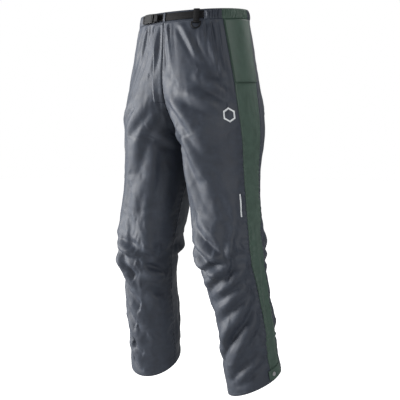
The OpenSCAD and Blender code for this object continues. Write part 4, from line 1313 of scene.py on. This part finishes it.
for share_down in (0.085, 0.915):
    grey_lines += [band_line(share_down, *ends, 160) for ends in (
        (TUNNEL_LEFT + 0.5, FRONT_SEAM_AT - 1), (-FRONT_SEAM_AT + 1, -TUNNEL_RIGHT - 0.5),
        (BACK_SEAM_AT + 1, 359 - BACK_SEAM_AT))]
    green_lines += [band_line(share_down, *ends, 80) for ends in (
        (FRONT_SEAM_AT + 1, BACK_SEAM_AT - 1), (-BACK_SEAM_AT + 1, -FRONT_SEAM_AT - 1))]
stitch_mesh("thread_grey", grey_lines, grey_thread, GREY[1], "trousers")
stitch_mesh("thread_green", green_lines, green_thread, GREEN[1], "trousers")
print("stitch lines:", len(grey_lines) + len(green_lines))

# %% [markdown]
# ## Stage and light
#
# The garment stands over a pale, seamless floor under soft studio light. One wide source stands to the left of the
# camera and weaker ones to the right and behind, so each fold has a lit and a shaded side. Floor and surroundings are
# brighter to the camera than they are as light, so the ground reads as white while the cloth keeps its dark shade.

# %% Stage
FLOOR_GAP, FLOOR_REACH, FLOOR_GLOW = 0.02, 30, 0.95
floor_paint, floor_tree, floor_shader = new_material("pale studio floor", Roughness=0.9)
floor_place = add_node(floor_tree, "ShaderNodeTexCoord")
floor_noise = add_node(floor_tree, "ShaderNodeTexNoise", {"Scale": 3.0}, {"Vector": floor_place.outputs["Object"]})
floor_tone = add_node(floor_tree, "ShaderNodeMixRGB", {"Color1": linear("#c6c6c6"), "Color2": linear("#cccccc")},
                      {"Fac": floor_noise.outputs["Fac"]})
floor_tree.links.new(floor_tone.outputs["Color"], floor_shader.inputs["Base Color"])
floor_z = float(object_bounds()[0][2]) - FLOOR_GAP
corners = [(x * FLOOR_REACH, y * FLOOR_REACH, floor_z) for x, y in ((-1, -1), (1, -1), (1, 1), (-1, 1))]
floor = mesh_object("floor", corners, [(0, 1, 2, 3)])
floor.data.materials.append(floor_paint)

glow = add_node(floor_tree, "ShaderNodeLightPath")
floor_shader.inputs["Emission Color"].default_value = linear("#ffffff")
dimmed = add_node(floor_tree, "ShaderNodeMath", None, {"Value": glow.outputs["Is Camera Ray"]}, operation="MULTIPLY")
dimmed.inputs[1].default_value = FLOOR_GLOW
floor_tree.links.new(dimmed.outputs["Value"], floor_shader.inputs["Emission Strength"])

world = bpy.data.worlds.new("studio")
world.use_nodes = True
sky = world.node_tree.nodes["Background"]
sky.inputs["Color"].default_value = linear("#ffffff")
seen = add_node(world.node_tree, "ShaderNodeLightPath")
level = add_node(world.node_tree, "ShaderNodeMapRange", {"To Min": 0.18, "To Max": 1.0},
                 {"Value": seen.outputs["Is Camera Ray"]})
world.node_tree.links.new(level.outputs["Result"], sky.inputs["Strength"])
bpy.context.scene.world = world


def area_light(name, place, target, size, power):
    data = bpy.data.lights.new(name, "AREA")
    data.size, data.energy = size, power
    light = bpy.data.objects.new(name, data)
    light.location = place
    light.rotation_euler = (Vector(target) - Vector(place)).to_track_quat("-Z", "Y").to_euler()
    bpy.context.scene.collection.objects.link(light)


area_light("key", (-2.2, -1.8, 0.1), (0, 0, -0.5), 1.8, 225)
area_light("side", (3.2, -1.2, 0.6), (0, 0, -0.5), 1.0, 60)
area_light("back", (0.6, 2.6, 1.6), (0, 0, -0.4), 1.8, 45)
bpy.context.scene.view_settings.view_transform = "Standard"
bpy.context.scene.view_settings.look = "None"
print("floor at", round(floor_z, 3))
